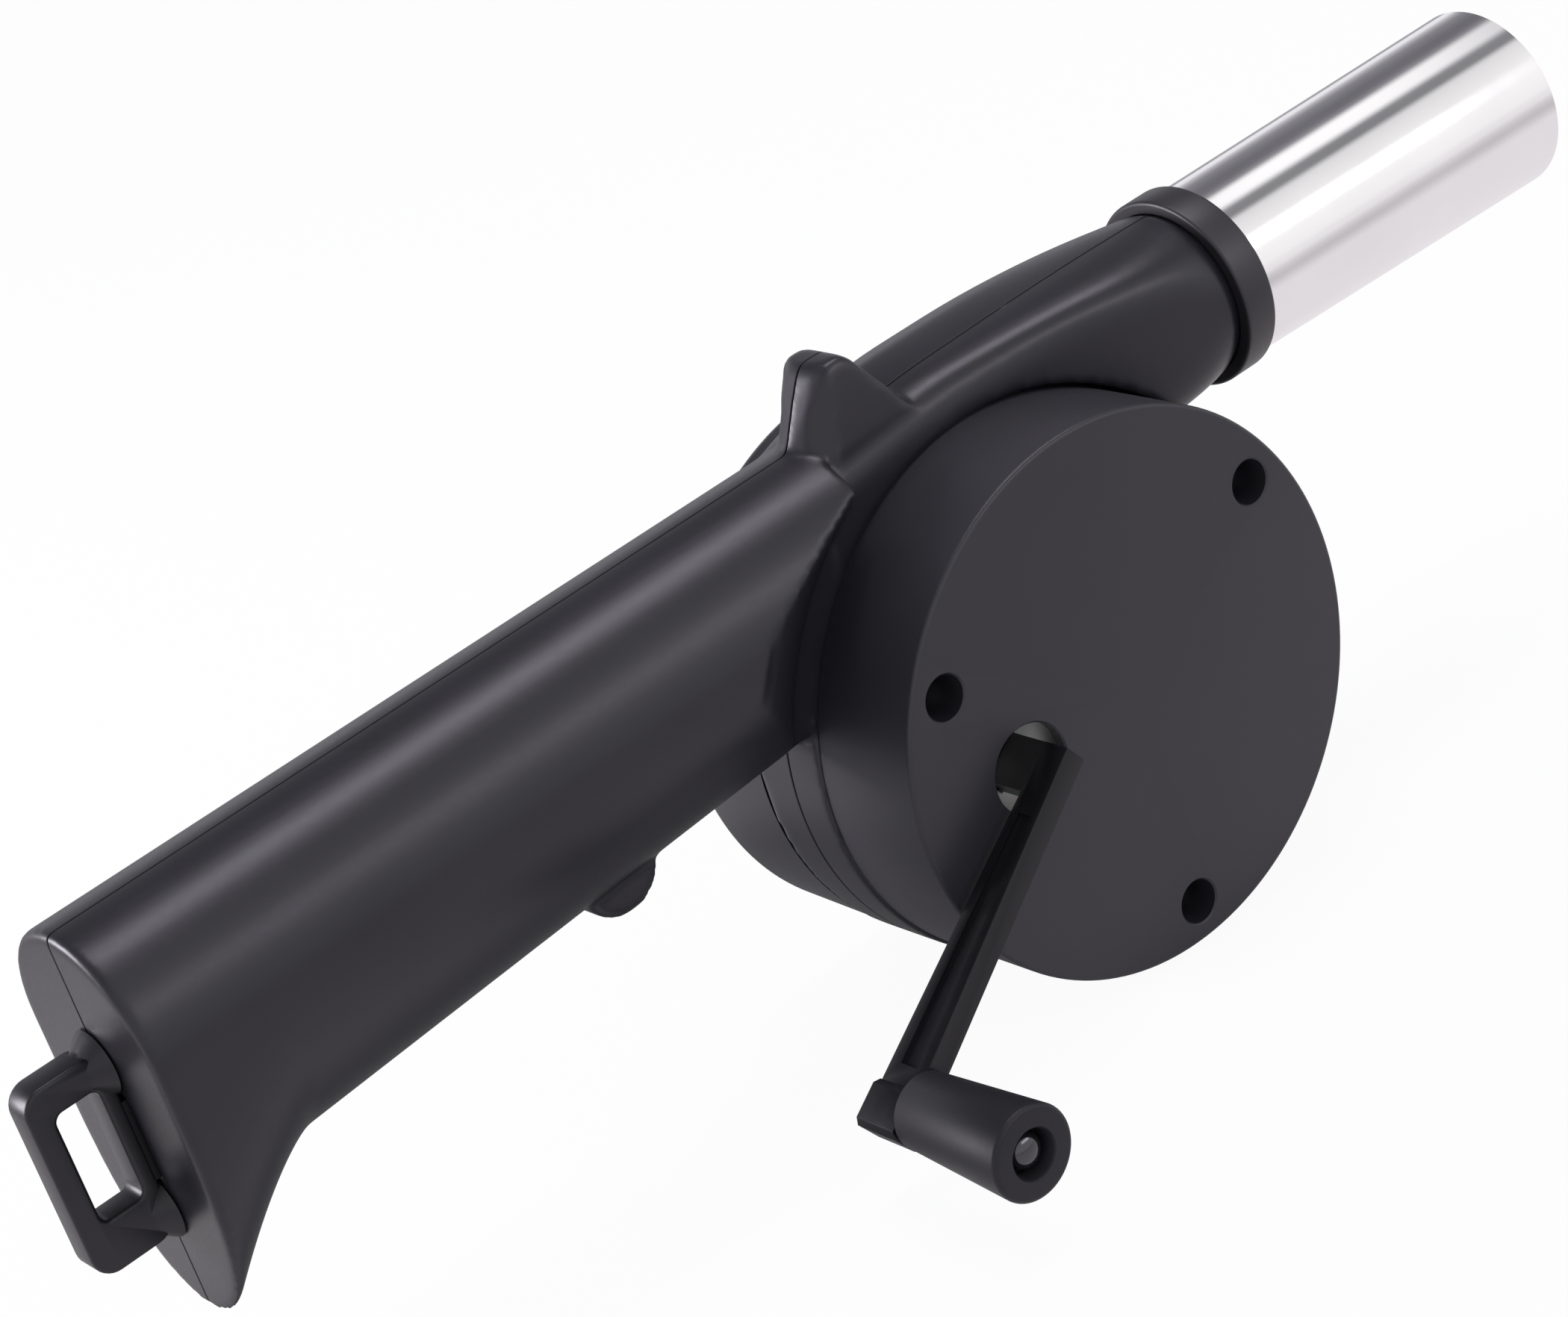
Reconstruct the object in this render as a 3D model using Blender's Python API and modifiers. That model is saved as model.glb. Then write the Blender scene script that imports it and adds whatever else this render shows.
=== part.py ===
"""Hand crank blower: a hand-held blower for charcoal, with a gear train, a fan and a steel outlet tube.

Every piece is drawn in a side view, in metres: X runs to the outlet, Y runs up and Z runs out to the crank
side, with the parting plane of the two body shells at Z 0. One empty stands that view upright, so the world
has +X to the outlet, -Y to the crank and +Z up, with its origin on the gear cover's flat face at the axis
of the drum.
"""

import math

import bmesh
import bpy
from mathutils import Matrix, Vector

MM = 0.001

# Clearances between neighbouring pieces
SEAT_GAP = 0.3 * MM
RUN_GAP = 0.3 * MM

# Drum and its two covers
FACE_RADIUS = 41.0 * MM
DRUM_RADIUS = FACE_RADIUS + 0.5 * MM
WALL = 2.0 * MM
GEAR_BAND = 7.0 * MM
FAN_BAND = 7.5 * MM
GEAR_COVER_DEPTH = 19.3 * MM
INLET_COVER_DEPTH = 18.5 * MM
GEAR_EDGE_ROUND = 0.7 * MM
INLET_EDGE_ROUND = 2.2 * MM
PARTITION = 2.0 * MM
SHOULDER_RADIUS = DRUM_RADIUS + 2.7 * MM
SHOULDER_ROUND = 14.0 * MM
SHOULDER_START = 20.7
SHOULDER_STOP = 84.0
COVER_CLEAR = 1.6 * MM
CUT_SPARE = 0.6 * MM

# Cover screws and their wells
WELL_CIRCLE = FACE_RADIUS - 6.0 * MM
WELL_ANGLE = math.radians(30.6)
WELL_RADIUS = 3.3 * MM
WELL_POST_RADIUS = 4.2 * MM
WELL_FLOOR = 2.0 * MM
GEAR_POST_HEIGHT = 7.0 * MM
GEAR_POST_RADIUS = 3.4 * MM
FAN_BOSS_RADIUS = 4.8 * MM
SCREW_RADIUS = 1.1 * MM
SCREW_HEAD_RADIUS = 2.7 * MM
SCREW_HEAD_HEIGHT = 1.8 * MM
SCREW_GRIP = 5.0 * MM

# Handle. Its heights follow the outlet's axis, which follows the drum.
TUBE_AXIS_Z = FACE_RADIUS - 5.5 * MM
END_X = -149.2 * MM
HANDLE_WIDE_Z = TUBE_AXIS_Z - 5.5 * MM
HANDLE_TOP_REAR = HANDLE_WIDE_Z + 16.4 * MM
HANDLE_TOP_FRONT = HANDLE_WIDE_Z + 17.6 * MM
HANDLE_HALF_WIDTH = 16.4 * MM
HANDLE_BOTTOM_FRONT = HANDLE_WIDE_Z - 17.8 * MM
HANDLE_BOTTOM_REAR = HANDLE_WIDE_Z - 25.1 * MM
HANDLE_FRONT_X = -23.2 * MM
POMMEL_START_X = -130.0 * MM
POMMEL_DROP = 16.2 * MM
POMMEL_POWER = 1.5
POMMEL_SQUARENESS = 0.3
END_ROUND = 1.0 * MM
SHELL_WALL = 2.2 * MM
CAVITY_FRONT_X = -46.0 * MM
CAVITY_REAR_WALL = 2.6 * MM

# Neck, spigot, collar and outlet tube
NECK_END_X = FACE_RADIUS + 5.8 * MM
NECK_END_RADIUS = 13.4 * MM
NECK_SECTIONS = (
    (-27.0 * MM, 10.0 * MM, 7.4 * MM, 9.0 * MM, 6.0),
    (-12.0 * MM, 12.0 * MM, 7.4 * MM, 12.2 * MM, 6.0),
    (-2.0 * MM, 12.9 * MM, 7.5 * MM, 12.8 * MM, 5.6),
    (8.0 * MM, 13.2 * MM, 8.2 * MM, 13.1 * MM, 5.2),
    (20.0 * MM, 13.5 * MM, 9.8 * MM, 13.3 * MM, 4.2),
    (32.0 * MM, 13.6 * MM, 12.1 * MM, 13.4 * MM, 3.0),
    (NECK_END_X, NECK_END_RADIUS, NECK_END_RADIUS, NECK_END_RADIUS, 2.0),
)
SPIGOT_RADIUS = 12.9 * MM
SPIGOT_LENGTH = 15.0 * MM
DUCT_RADIUS = 11.0 * MM
DUCT_NARROW = 4.4 * MM
DUCT_MOUTH = (
    (2.0 * MM, 10.5 * MM, 2.5 * MM, 4.5 * MM),
    (26.0 * MM, 10.7 * MM, 5.0 * MM, 2.5 * MM),
)
COLLAR_RADIUS = 15.0 * MM
COLLAR_WIDTH = 5.8 * MM
COLLAR_LIP_RADIUS = 13.6 * MM
TUBE_WALL = 0.7 * MM
TUBE_MOUTH_X = 115.5 * MM
TUBE_MOUTH_RADIUS = 15.1 * MM
GROOVE_WIDTH = 0.9 * MM

# Hump on top and lug under the handle, which hold two of the shell screws
HUMP_X = -15.6 * MM
HUMP_Z = HANDLE_TOP_FRONT + 3.0 * MM
HUMP_HALF_WIDTH = 5.6 * MM
HUMP_LEVELS = (
    (HANDLE_TOP_FRONT - 7.6 * MM, -27.6 * MM, -22.6 * MM, -1.5 * MM, 6.4 * MM),
    (HANDLE_TOP_FRONT - 1.1 * MM, -26.0 * MM, -21.2 * MM, -6.3 * MM, 6.3 * MM),
    (HANDLE_TOP_FRONT + 4.8 * MM, -22.0 * MM, -19.2 * MM, -10.7 * MM, 5.5 * MM),
    (HANDLE_TOP_FRONT + 8.0 * MM, -19.4 * MM, -17.7 * MM, -13.2 * MM, 4.9 * MM),
    (HANDLE_TOP_FRONT + 9.2 * MM, -18.2 * MM, -16.8 * MM, -14.6 * MM, 4.2 * MM),
)
LUG_X = -75.0 * MM
LUG_Z = HANDLE_WIDE_Z - 18.6 * MM
LUG_RADIUS = 6.4 * MM
LUG_HALF_WIDTH = 6.0 * MM
LUG_POST_RADIUS = 4.6 * MM
REAR_SCREW_X = -137.0 * MM
REAR_SCREW_Z = HANDLE_WIDE_Z - 8.0 * MM
REAR_POST_RADIUS = 5.0 * MM
REAR_WELL_DEPTH = 8.5 * MM
SHELL_WELL_DEPTH = 2.6 * MM
SHELL_PILOT_DEPTH = 4.4 * MM

# Hanging loop
LOOP_THICK = 5.0 * MM
LOOP_WIDTH = 12.2 * MM
LOOP_LOW_Z = HANDLE_WIDE_Z - 27.5 * MM
LOOP_HIGH_Z = HANDLE_WIDE_Z + 0.5 * MM
LOOP_SIDE_BAR = 3.4 * MM
LOOP_LOW_BAR = 7.0 * MM
LOOP_HIGH_BAR = 4.6 * MM
LOOP_ROOT_BAR = 2.3 * MM
LOOP_OUTER_ROUND = 3.2 * MM
LOOP_HOLE_ROUND = 1.3 * MM
LOOP_TENON_HEIGHT = 12.0 * MM
LOOP_HEAD_HEIGHT = 18.0 * MM
LOOP_HEAD_THICK = 2.0 * MM
LOOP_HEAD_LEDGE = 1.0 * MM

# Gears
MODULE = 1.0 * MM
WHEEL_TEETH = 28
PINION_TEETH = 10
PRESSURE_ANGLE = math.radians(20.0)
PROFILE_SHIFT = 0.4
ADDENDUM = 0.9
DEDENDUM = 1.25
BACKLASH = 0.11 * MM
CRANK_X = -20.5 * MM
CRANK_GEAR_BACK = 15.0 * MM
CRANK_GEAR_THICK = 6.0 * MM
CRANK_GEAR_HUB_RADIUS = 4.0 * MM
IDLER_WHEEL_BACK = 9.2 * MM
IDLER_WHEEL_THICK = 4.2 * MM
PIN_RADIUS = 1.5 * MM
CRANK_PIN_RADIUS = 2.0 * MM
PIN_BOSS_RADIUS = 3.8 * MM
PIN_BOSS_HEIGHT = 0.7 * MM
PIN_BOSS_BACK = 1.8 * MM
PIN_ROOT = 2.9 * MM
COVER_BOSS_HEIGHT = 3.2 * MM
COVER_BOSS_BORE = 2.0 * MM

# Crank arm, tang and knob
CRANK_ANGLE = math.radians(34.3)
CRANK_THROW = 48.8 * MM
ARM_WIDTH = 3.8 * MM
ARM_DEPTH = 7.6 * MM
ARM_STANDOFF = 1.9 * MM
TANG_LENGTH = 7.6 * MM
TANG_REACH = 4.2 * MM
ARM_END_WIDTH = 6.2 * MM
ARM_END_LENGTH = 11.0 * MM
ARM_GROOVE_DEPTH = 0.6 * MM
ARM_GROOVE_WIDTH = 3.6 * MM
CRANK_HOLE_RADIUS = 6.5 * MM
KNOB_LENGTH = 21.4 * MM
KNOB_BASE_RADIUS = 5.5 * MM
KNOB_END_RADIUS = 6.6 * MM
KNOB_EDGE_ROUND = 0.7 * MM
KNOB_RECESS_RADIUS = 3.5 * MM
KNOB_RECESS_DEPTH = 4.2 * MM
KNOB_SCREW_RADIUS = 1.9 * MM
KNOB_SCREW_HEAD_RADIUS = 2.8 * MM
KNOB_SCREW_HEAD_HEIGHT = 2.6 * MM
KNOB_SCREW_GRIP = 6.0 * MM

# Fan
FAN_SHAFT_RADIUS = 1.5 * MM
BUSH_RADIUS = 3.4 * MM
BUSH_FLANGE_RADIUS = 4.4 * MM
BUSH_FLANGE = 0.8 * MM
BUSH_LENGTH = 4.2 * MM
BUSH_SEAT_RADIUS = 5.6 * MM
IMPELLER_RADIUS = FACE_RADIUS - 11.8 * MM
IMPELLER_BACK = 2.2 * MM
IMPELLER_DISC = 1.5 * MM
IMPELLER_DEPTH = 19.0 * MM
IMPELLER_HUB_RADIUS = 5.0 * MM
BLADE_COUNT = 10
BLADE_THICK = 1.4 * MM
BLADE_SWEEP = math.radians(34.0)
BLADE_ROOT_RADIUS = 4.2 * MM
NUT_ACROSS = 5.5 * MM
NUT_HEIGHT = 2.2 * MM

# Air inlet grille
GRILLE_SLOTS = 16
SLOT_WIDTH = 2.8 * MM
SLOT_INNER_RADIUS = 12.0 * MM
SLOT_OUTER_RADIUS = FACE_RADIUS - 12.5 * MM

# Facets
ROUND_STEPS = 46
SMALL_STEPS = 12
SCREW_STEPS = 8
WELL_STEPS = 18
KNOB_STEPS = 28
HALF_TURN_STEPS = 10


def clear_scene():
    """Remove every object, so the script gives the same scene each time."""
    for item in list(bpy.data.objects):
        bpy.data.objects.remove(item, do_unlink=True)


def make_material(name, colour, roughness, metallic=0.0):
    """One plain Principled material."""
    material = bpy.data.materials.new(name)
    material.use_nodes = True
    shader = material.node_tree.nodes["Principled BSDF"]
    shader.inputs["Base Color"].default_value = (*colour, 1.0)
    shader.inputs["Roughness"].default_value = roughness
    shader.inputs["Metallic"].default_value = metallic
    return material


def make_empty(name, parent, location, angle=0.0):
    """An axis of the side view; angle turns it about the view's own Z."""
    empty = bpy.data.objects.new(name, None)
    empty.empty_display_size = 0.01
    empty.parent = parent
    empty.location = location
    empty.rotation_euler = (0.0, 0.0, angle)
    PARTS.objects.link(empty)
    return empty


def add_object(name, mesh, parent, material=None, location=(0.0, 0.0, 0.0), turn=(0.0, 0.0, 0.0)):
    """Link a mesh as a part, or as a cutter where no material is given."""
    item = bpy.data.objects.new(name, mesh)
    item.parent = parent
    item.location = location
    item.rotation_euler = turn
    if material is None:
        CUTTERS.objects.link(item)
        item.hide_render = True
        item.display_type = "WIRE"
    else:
        PARTS.objects.link(item)
        mesh.materials.clear()
        mesh.materials.append(material)
    return item


def finish_mesh(bm, name):
    """Close a bmesh into a mesh with its faces pointing out."""
    bmesh.ops.recalc_face_normals(bm, faces=bm.faces)
    mesh = bpy.data.meshes.new(name)
    bm.to_mesh(mesh)
    bm.free()
    return mesh


def cylinder_mesh(name, radius, low, high, steps, radius_high=None):
    """A cylinder or cone along Z, from low to high."""
    bm = bmesh.new()
    bmesh.ops.create_cone(
        bm,
        cap_ends=True,
        segments=steps,
        radius1=radius,
        radius2=radius if radius_high is None else radius_high,
        depth=high - low,
        matrix=Matrix.Translation((0.0, 0.0, (low + high) / 2)),
    )
    return finish_mesh(bm, name)


def box_mesh(name, low, high):
    """A box between two corners."""
    bm = bmesh.new()
    middle = [(a + b) / 2 for a, b in zip(low, high)]
    size = [b - a for a, b in zip(low, high)]
    matrix = Matrix.Translation(middle) @ Matrix.Diagonal((*size, 1.0))
    bmesh.ops.create_cube(bm, size=1.0, matrix=matrix)
    return finish_mesh(bm, name)


def turned_mesh(name, profile, steps, ring=False):
    """Turn a profile of (radius, z) about Z. It runs top to bottom down its outer side."""
    mesh = bpy.data.meshes.new(name + "_profile")
    edges = [(i, i + 1) for i in range(len(profile) - 1)]
    if ring:
        edges.append((len(profile) - 1, 0))
    mesh.from_pydata([(radius, 0.0, z) for radius, z in profile], edges, [])
    item = bpy.data.objects.new(name + "_profile", mesh)
    CUTTERS.objects.link(item)
    screw = item.modifiers.new("turn", "SCREW")
    screw.axis = "Z"
    screw.steps = steps
    screw.render_steps = steps
    screw.use_merge_vertices = True
    screw.merge_threshold = 0.00001
    result = evaluated_mesh(item, name)
    bpy.data.objects.remove(item, do_unlink=True)
    bm = bmesh.new()
    bm.from_mesh(result)
    bmesh.ops.remove_doubles(bm, verts=bm.verts, dist=0.00001)
    bmesh.ops.recalc_face_normals(bm, faces=bm.faces)
    bm.to_mesh(result)
    bm.free()
    return result


def evaluated_mesh(item, name):
    """The mesh of an object with its modifiers applied, in its own space."""
    bpy.context.view_layer.update()
    graph = bpy.context.evaluated_depsgraph_get()
    mesh = bpy.data.meshes.new_from_object(item.evaluated_get(graph))
    mesh.name = name
    return mesh


def plate_mesh(name, outlines, low, high):
    """Extrude a flat outline, with holes as further outlines, from low to high along Z."""
    curve = bpy.data.curves.new(name, "CURVE")
    curve.dimensions = "2D"
    curve.fill_mode = "BOTH"
    curve.extrude = (high - low) / 2
    for outline in outlines:
        spline = curve.splines.new("POLY")
        spline.points.add(len(outline) - 1)
        for point, (x, y) in zip(spline.points, outline):
            point.co = (x, y, 0.0, 1.0)
        spline.use_cyclic_u = True
    item = bpy.data.objects.new(name, curve)
    CUTTERS.objects.link(item)
    mesh = evaluated_mesh(item, name)
    bpy.data.objects.remove(item, do_unlink=True)
    bm = bmesh.new()
    bm.from_mesh(mesh)
    bmesh.ops.remove_doubles(bm, verts=bm.verts, dist=0.000001)
    bmesh.ops.translate(bm, verts=bm.verts, vec=(0.0, 0.0, (low + high) / 2))
    bmesh.ops.recalc_face_normals(bm, faces=bm.faces)
    bm.to_mesh(mesh)
    bm.free()
    return mesh


def loft_mesh(name, sections):
    """Skin a row of closed sections that have equal counts of points, and cap both ends."""
    bm = bmesh.new()
    rings = [[bm.verts.new(point) for point in section] for section in sections]
    for first, second in zip(rings, rings[1:]):
        for i, corner in enumerate(first):
            after = (i + 1) % len(first)
            bm.faces.new((corner, first[after], second[after], second[i]))
    bm.faces.new(rings[0])
    bm.faces.new(rings[-1])
    bmesh.ops.triangulate(bm, faces=bm.faces)
    return finish_mesh(bm, name)


def boolean(item, cutter, operation="DIFFERENCE"):
    """Cut or join with another object, as a live modifier."""
    modifier = item.modifiers.new(cutter.name, "BOOLEAN")
    modifier.operation = operation
    modifier.solver = "EXACT"
    modifier.object = cutter


def smooth(item, degrees=35.0):
    """Round faces are shaded smooth, and true edges stay sharp."""
    item.data.shade_smooth()
    item.data.set_sharp_from_angle(angle=math.radians(degrees))


def arc(centre, radius, start, end, count):
    """Points of an arc, in degrees, both ends included."""
    points = []
    for i in range(count + 1):
        angle = math.radians(start + (end - start) * i / count)
        points.append((centre[0] + radius * math.cos(angle), centre[1] + radius * math.sin(angle)))
    return points


def oval(x, top, bottom, half_width, widest, far_width=None, shoulder=2.0, heel=None):
    """A closed section at x. far_width is for the side away from Z; a high shoulder or heel flattens it."""
    points = []
    count = 2 * HALF_TURN_STEPS
    for i in range(count):
        angle = 2 * math.pi * (i + 0.5) / count
        across, up = math.cos(angle), math.sin(angle)
        width = half_width if across > 0 or far_width is None else far_width
        reach = (top - widest) if up > 0 else (bottom - widest)
        square = shoulder if up > 0 or heel is None else heel
        points.append(Vector((x, widest + reach * abs(up) ** (2 / square), across * width)))
    return points


def handle_top(x):
    """Height of the handle's top line."""
    share = (x - END_X) / (HANDLE_FRONT_X - END_X)
    return HANDLE_TOP_REAR + (HANDLE_TOP_FRONT - HANDLE_TOP_REAR) * share


def handle_bottom(x):
    """Height of the handle's bottom line, which drops into the pommel at the rear."""
    share = (x - POMMEL_START_X) / (HANDLE_FRONT_X - POMMEL_START_X)
    line = HANDLE_BOTTOM_REAR + (HANDLE_BOTTOM_FRONT - HANDLE_BOTTOM_REAR) * share
    if x >= POMMEL_START_X:
        return line
    drop = ((POMMEL_START_X - x) / (POMMEL_START_X - END_X)) ** POMMEL_POWER
    return line - POMMEL_DROP * drop


def handle_section(x, inset):
    """Section of the handle at x, drawn in by inset; the pommel's underside is a little squarer."""
    share = max(0.0, (POMMEL_START_X - x) / (POMMEL_START_X - END_X))
    heel = 2.0 + POMMEL_SQUARENESS * share
    top, bottom = handle_top(x) - inset, handle_bottom(x) + inset
    return oval(x, top, bottom, HANDLE_HALF_WIDTH - inset, HANDLE_WIDE_Z, heel=heel)


def handle_stations(first, last, inset):
    """Sections of the handle from first to last, drawn in by inset on all sides."""
    stations = []
    steps = 7
    for i in range(steps):
        stations.append(first + (POMMEL_START_X - first) * i / steps)
    runs = 4
    for i in range(runs + 1):
        stations.append(POMMEL_START_X + (last - POMMEL_START_X) * i / runs)
    return [handle_section(x, inset) for x in stations]


def handle_mesh():
    """The solid handle, with its end face and the rounded rim around it."""
    rim = []
    for degrees in (90.0, 60.0, 30.0):
        turn = math.radians(degrees)
        x = END_X + END_ROUND * (1 - math.sin(turn))
        rim.append(handle_section(x, END_ROUND * (1 - math.cos(turn))))
    return loft_mesh("handle", rim + handle_stations(END_X + END_ROUND, HANDLE_FRONT_X, 0.0))


def hump_plan(nose, corner, front, half):
    """Plan of the hump at one height: a pointed rear, straight sides and a flat front."""
    middle = (nose * 2 + corner) / 3
    near = [(front, half * 0.7), (front - 0.6 * MM, half), (corner, half), (middle, half * 0.55)]
    return near + [(nose, 0.0)] + [(x, -side) for x, side in reversed(near)]


def gear_outline(teeth, shift, bore=None, flank_points=3):
    """Involute outline, with a tooth centred on +X. shift moves the profile out, in modules."""
    pitch = MODULE * teeth / 2
    base = pitch * math.cos(PRESSURE_ANGLE)
    tip = pitch + MODULE * (ADDENDUM + shift)
    root = pitch - MODULE * (DEDENDUM - shift)
    thick = MODULE * (math.pi / 2 + 2 * shift * math.tan(PRESSURE_ANGLE)) - BACKLASH
    involute = math.tan(PRESSURE_ANGLE) - PRESSURE_ANGLE
    half_pitch_angle = thick / (2 * pitch)
    start = max(base, root)
    points = []
    for tooth in range(teeth):
        middle = 2 * math.pi * tooth / teeth
        flank = []
        for i in range(flank_points):
            radius = start + (tip - start) * (i / (flank_points - 1)) ** 1.3
            roll = math.acos(min(1.0, base / radius))
            half = half_pitch_angle + involute - (math.tan(roll) - roll)
            flank.append((radius, half))
        if root < base:
            flank.insert(0, (root, flank[0][1]))
        for radius, half in flank:
            points.append((radius * math.cos(middle - half), radius * math.sin(middle - half)))
        for radius, half in reversed(flank):
            points.append((radius * math.cos(middle + half), radius * math.sin(middle + half)))
    outlines = [points]
    if bore:
        outlines.append(circle_points(bore, SMALL_STEPS))
    return outlines


def circle_points(radius, count, centre=(0.0, 0.0)):
    """Points of a full circle."""
    return [
        (
            centre[0] + radius * math.cos(2 * math.pi * i / count),
            centre[1] + radius * math.sin(2 * math.pi * i / count),
        )
        for i in range(count)
    ]


def mesh_phase(angle_first, teeth_first, towards, teeth_second):
    """Turn of the second gear that puts its gap on the first gear's tooth; towards is the line between."""
    tooth = (angle_first - towards) * teeth_first / (2 * math.pi)
    gap = (0.5 - tooth) % 1.0
    return towards + math.pi + gap * 2 * math.pi / teeth_second


def screw_mesh(name, head_radius, head_height, shank_radius, shank_length, steps=SCREW_STEPS):
    """A pan head screw along Z: its head sits on Z 0 and its shank runs down from there."""
    dome = head_height * 0.45
    return turned_mesh(
        name,
        [
            (0.0, head_height),
            (head_radius * 0.62, head_height),
            (head_radius, head_height - dome),
            (head_radius, 0.0),
            (shank_radius, 0.0),
            (shank_radius, -shank_length + shank_radius * 0.6),
            (shank_radius * 0.4, -shank_length),
            (0.0, -shank_length),
        ],
        steps,
    )


clear_scene()
SCENE = bpy.context.scene
PARTS = bpy.data.collections.new("hand_crank_blower")
CUTTERS = bpy.data.collections.new("cutters")
SCENE.collection.children.link(PARTS)
SCENE.collection.children.link(CUTTERS)

# Places along Z of the side view that several pieces share
FACE_Z = GEAR_BAND + SEAT_GAP + GEAR_COVER_DEPTH
COVER_INNER_Z = FACE_Z - WALL
INLET_Z = -(FAN_BAND + SEAT_GAP + INLET_COVER_DEPTH)
INLET_INNER_Z = INLET_Z + WALL
CHAMBER_RADIUS = DRUM_RADIUS - 2.5 * MM
COVER_BORE_RADIUS = FACE_RADIUS - WALL
PARTITION_BACK = GEAR_BAND - PARTITION
GEAR_POST_TOP = GEAR_BAND + GEAR_POST_HEIGHT
CENTRE_DISTANCE = MODULE * (WHEEL_TEETH + PINION_TEETH) / 2
IDLER_X = CRANK_X / 2
IDLER_Z = math.sqrt(CENTRE_DISTANCE**2 - IDLER_X**2)
WHEEL_TIP = MODULE * (WHEEL_TEETH / 2 + ADDENDUM - PROFILE_SHIFT)
WELLS = [WELL_ANGLE + i * 2 * math.pi / 3 for i in range(3)]

SIDE_VIEW = make_empty("side_view", None, (0.0, FACE_Z, 0.0))
SIDE_VIEW.rotation_euler = (math.pi / 2, 0.0, 0.0)

BLACK_PLASTIC = make_material("black_abs", (0.030, 0.030, 0.032), 0.42)
COVER_PLASTIC = make_material("dark_grey_abs", (0.045, 0.044, 0.050), 0.50)
GLOSS_BLACK = make_material("black_nylon", (0.012, 0.012, 0.013), 0.35)
WHITE_NYLON = make_material("white_nylon", (0.75, 0.74, 0.70), 0.45)
STEEL = make_material("polished_stainless", (0.80, 0.80, 0.80), 0.12, 1.0)
ZINC = make_material("zinc_plated_steel", (0.62, 0.62, 0.63), 0.30, 1.0)
BRONZE = make_material("sintered_bronze", (0.55, 0.36, 0.18), 0.45, 1.0)


def well_centre(angle, radius=WELL_CIRCLE):
    """Centre of a cover screw, in the side view."""
    return (radius * math.cos(angle), radius * math.sin(angle))


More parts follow.
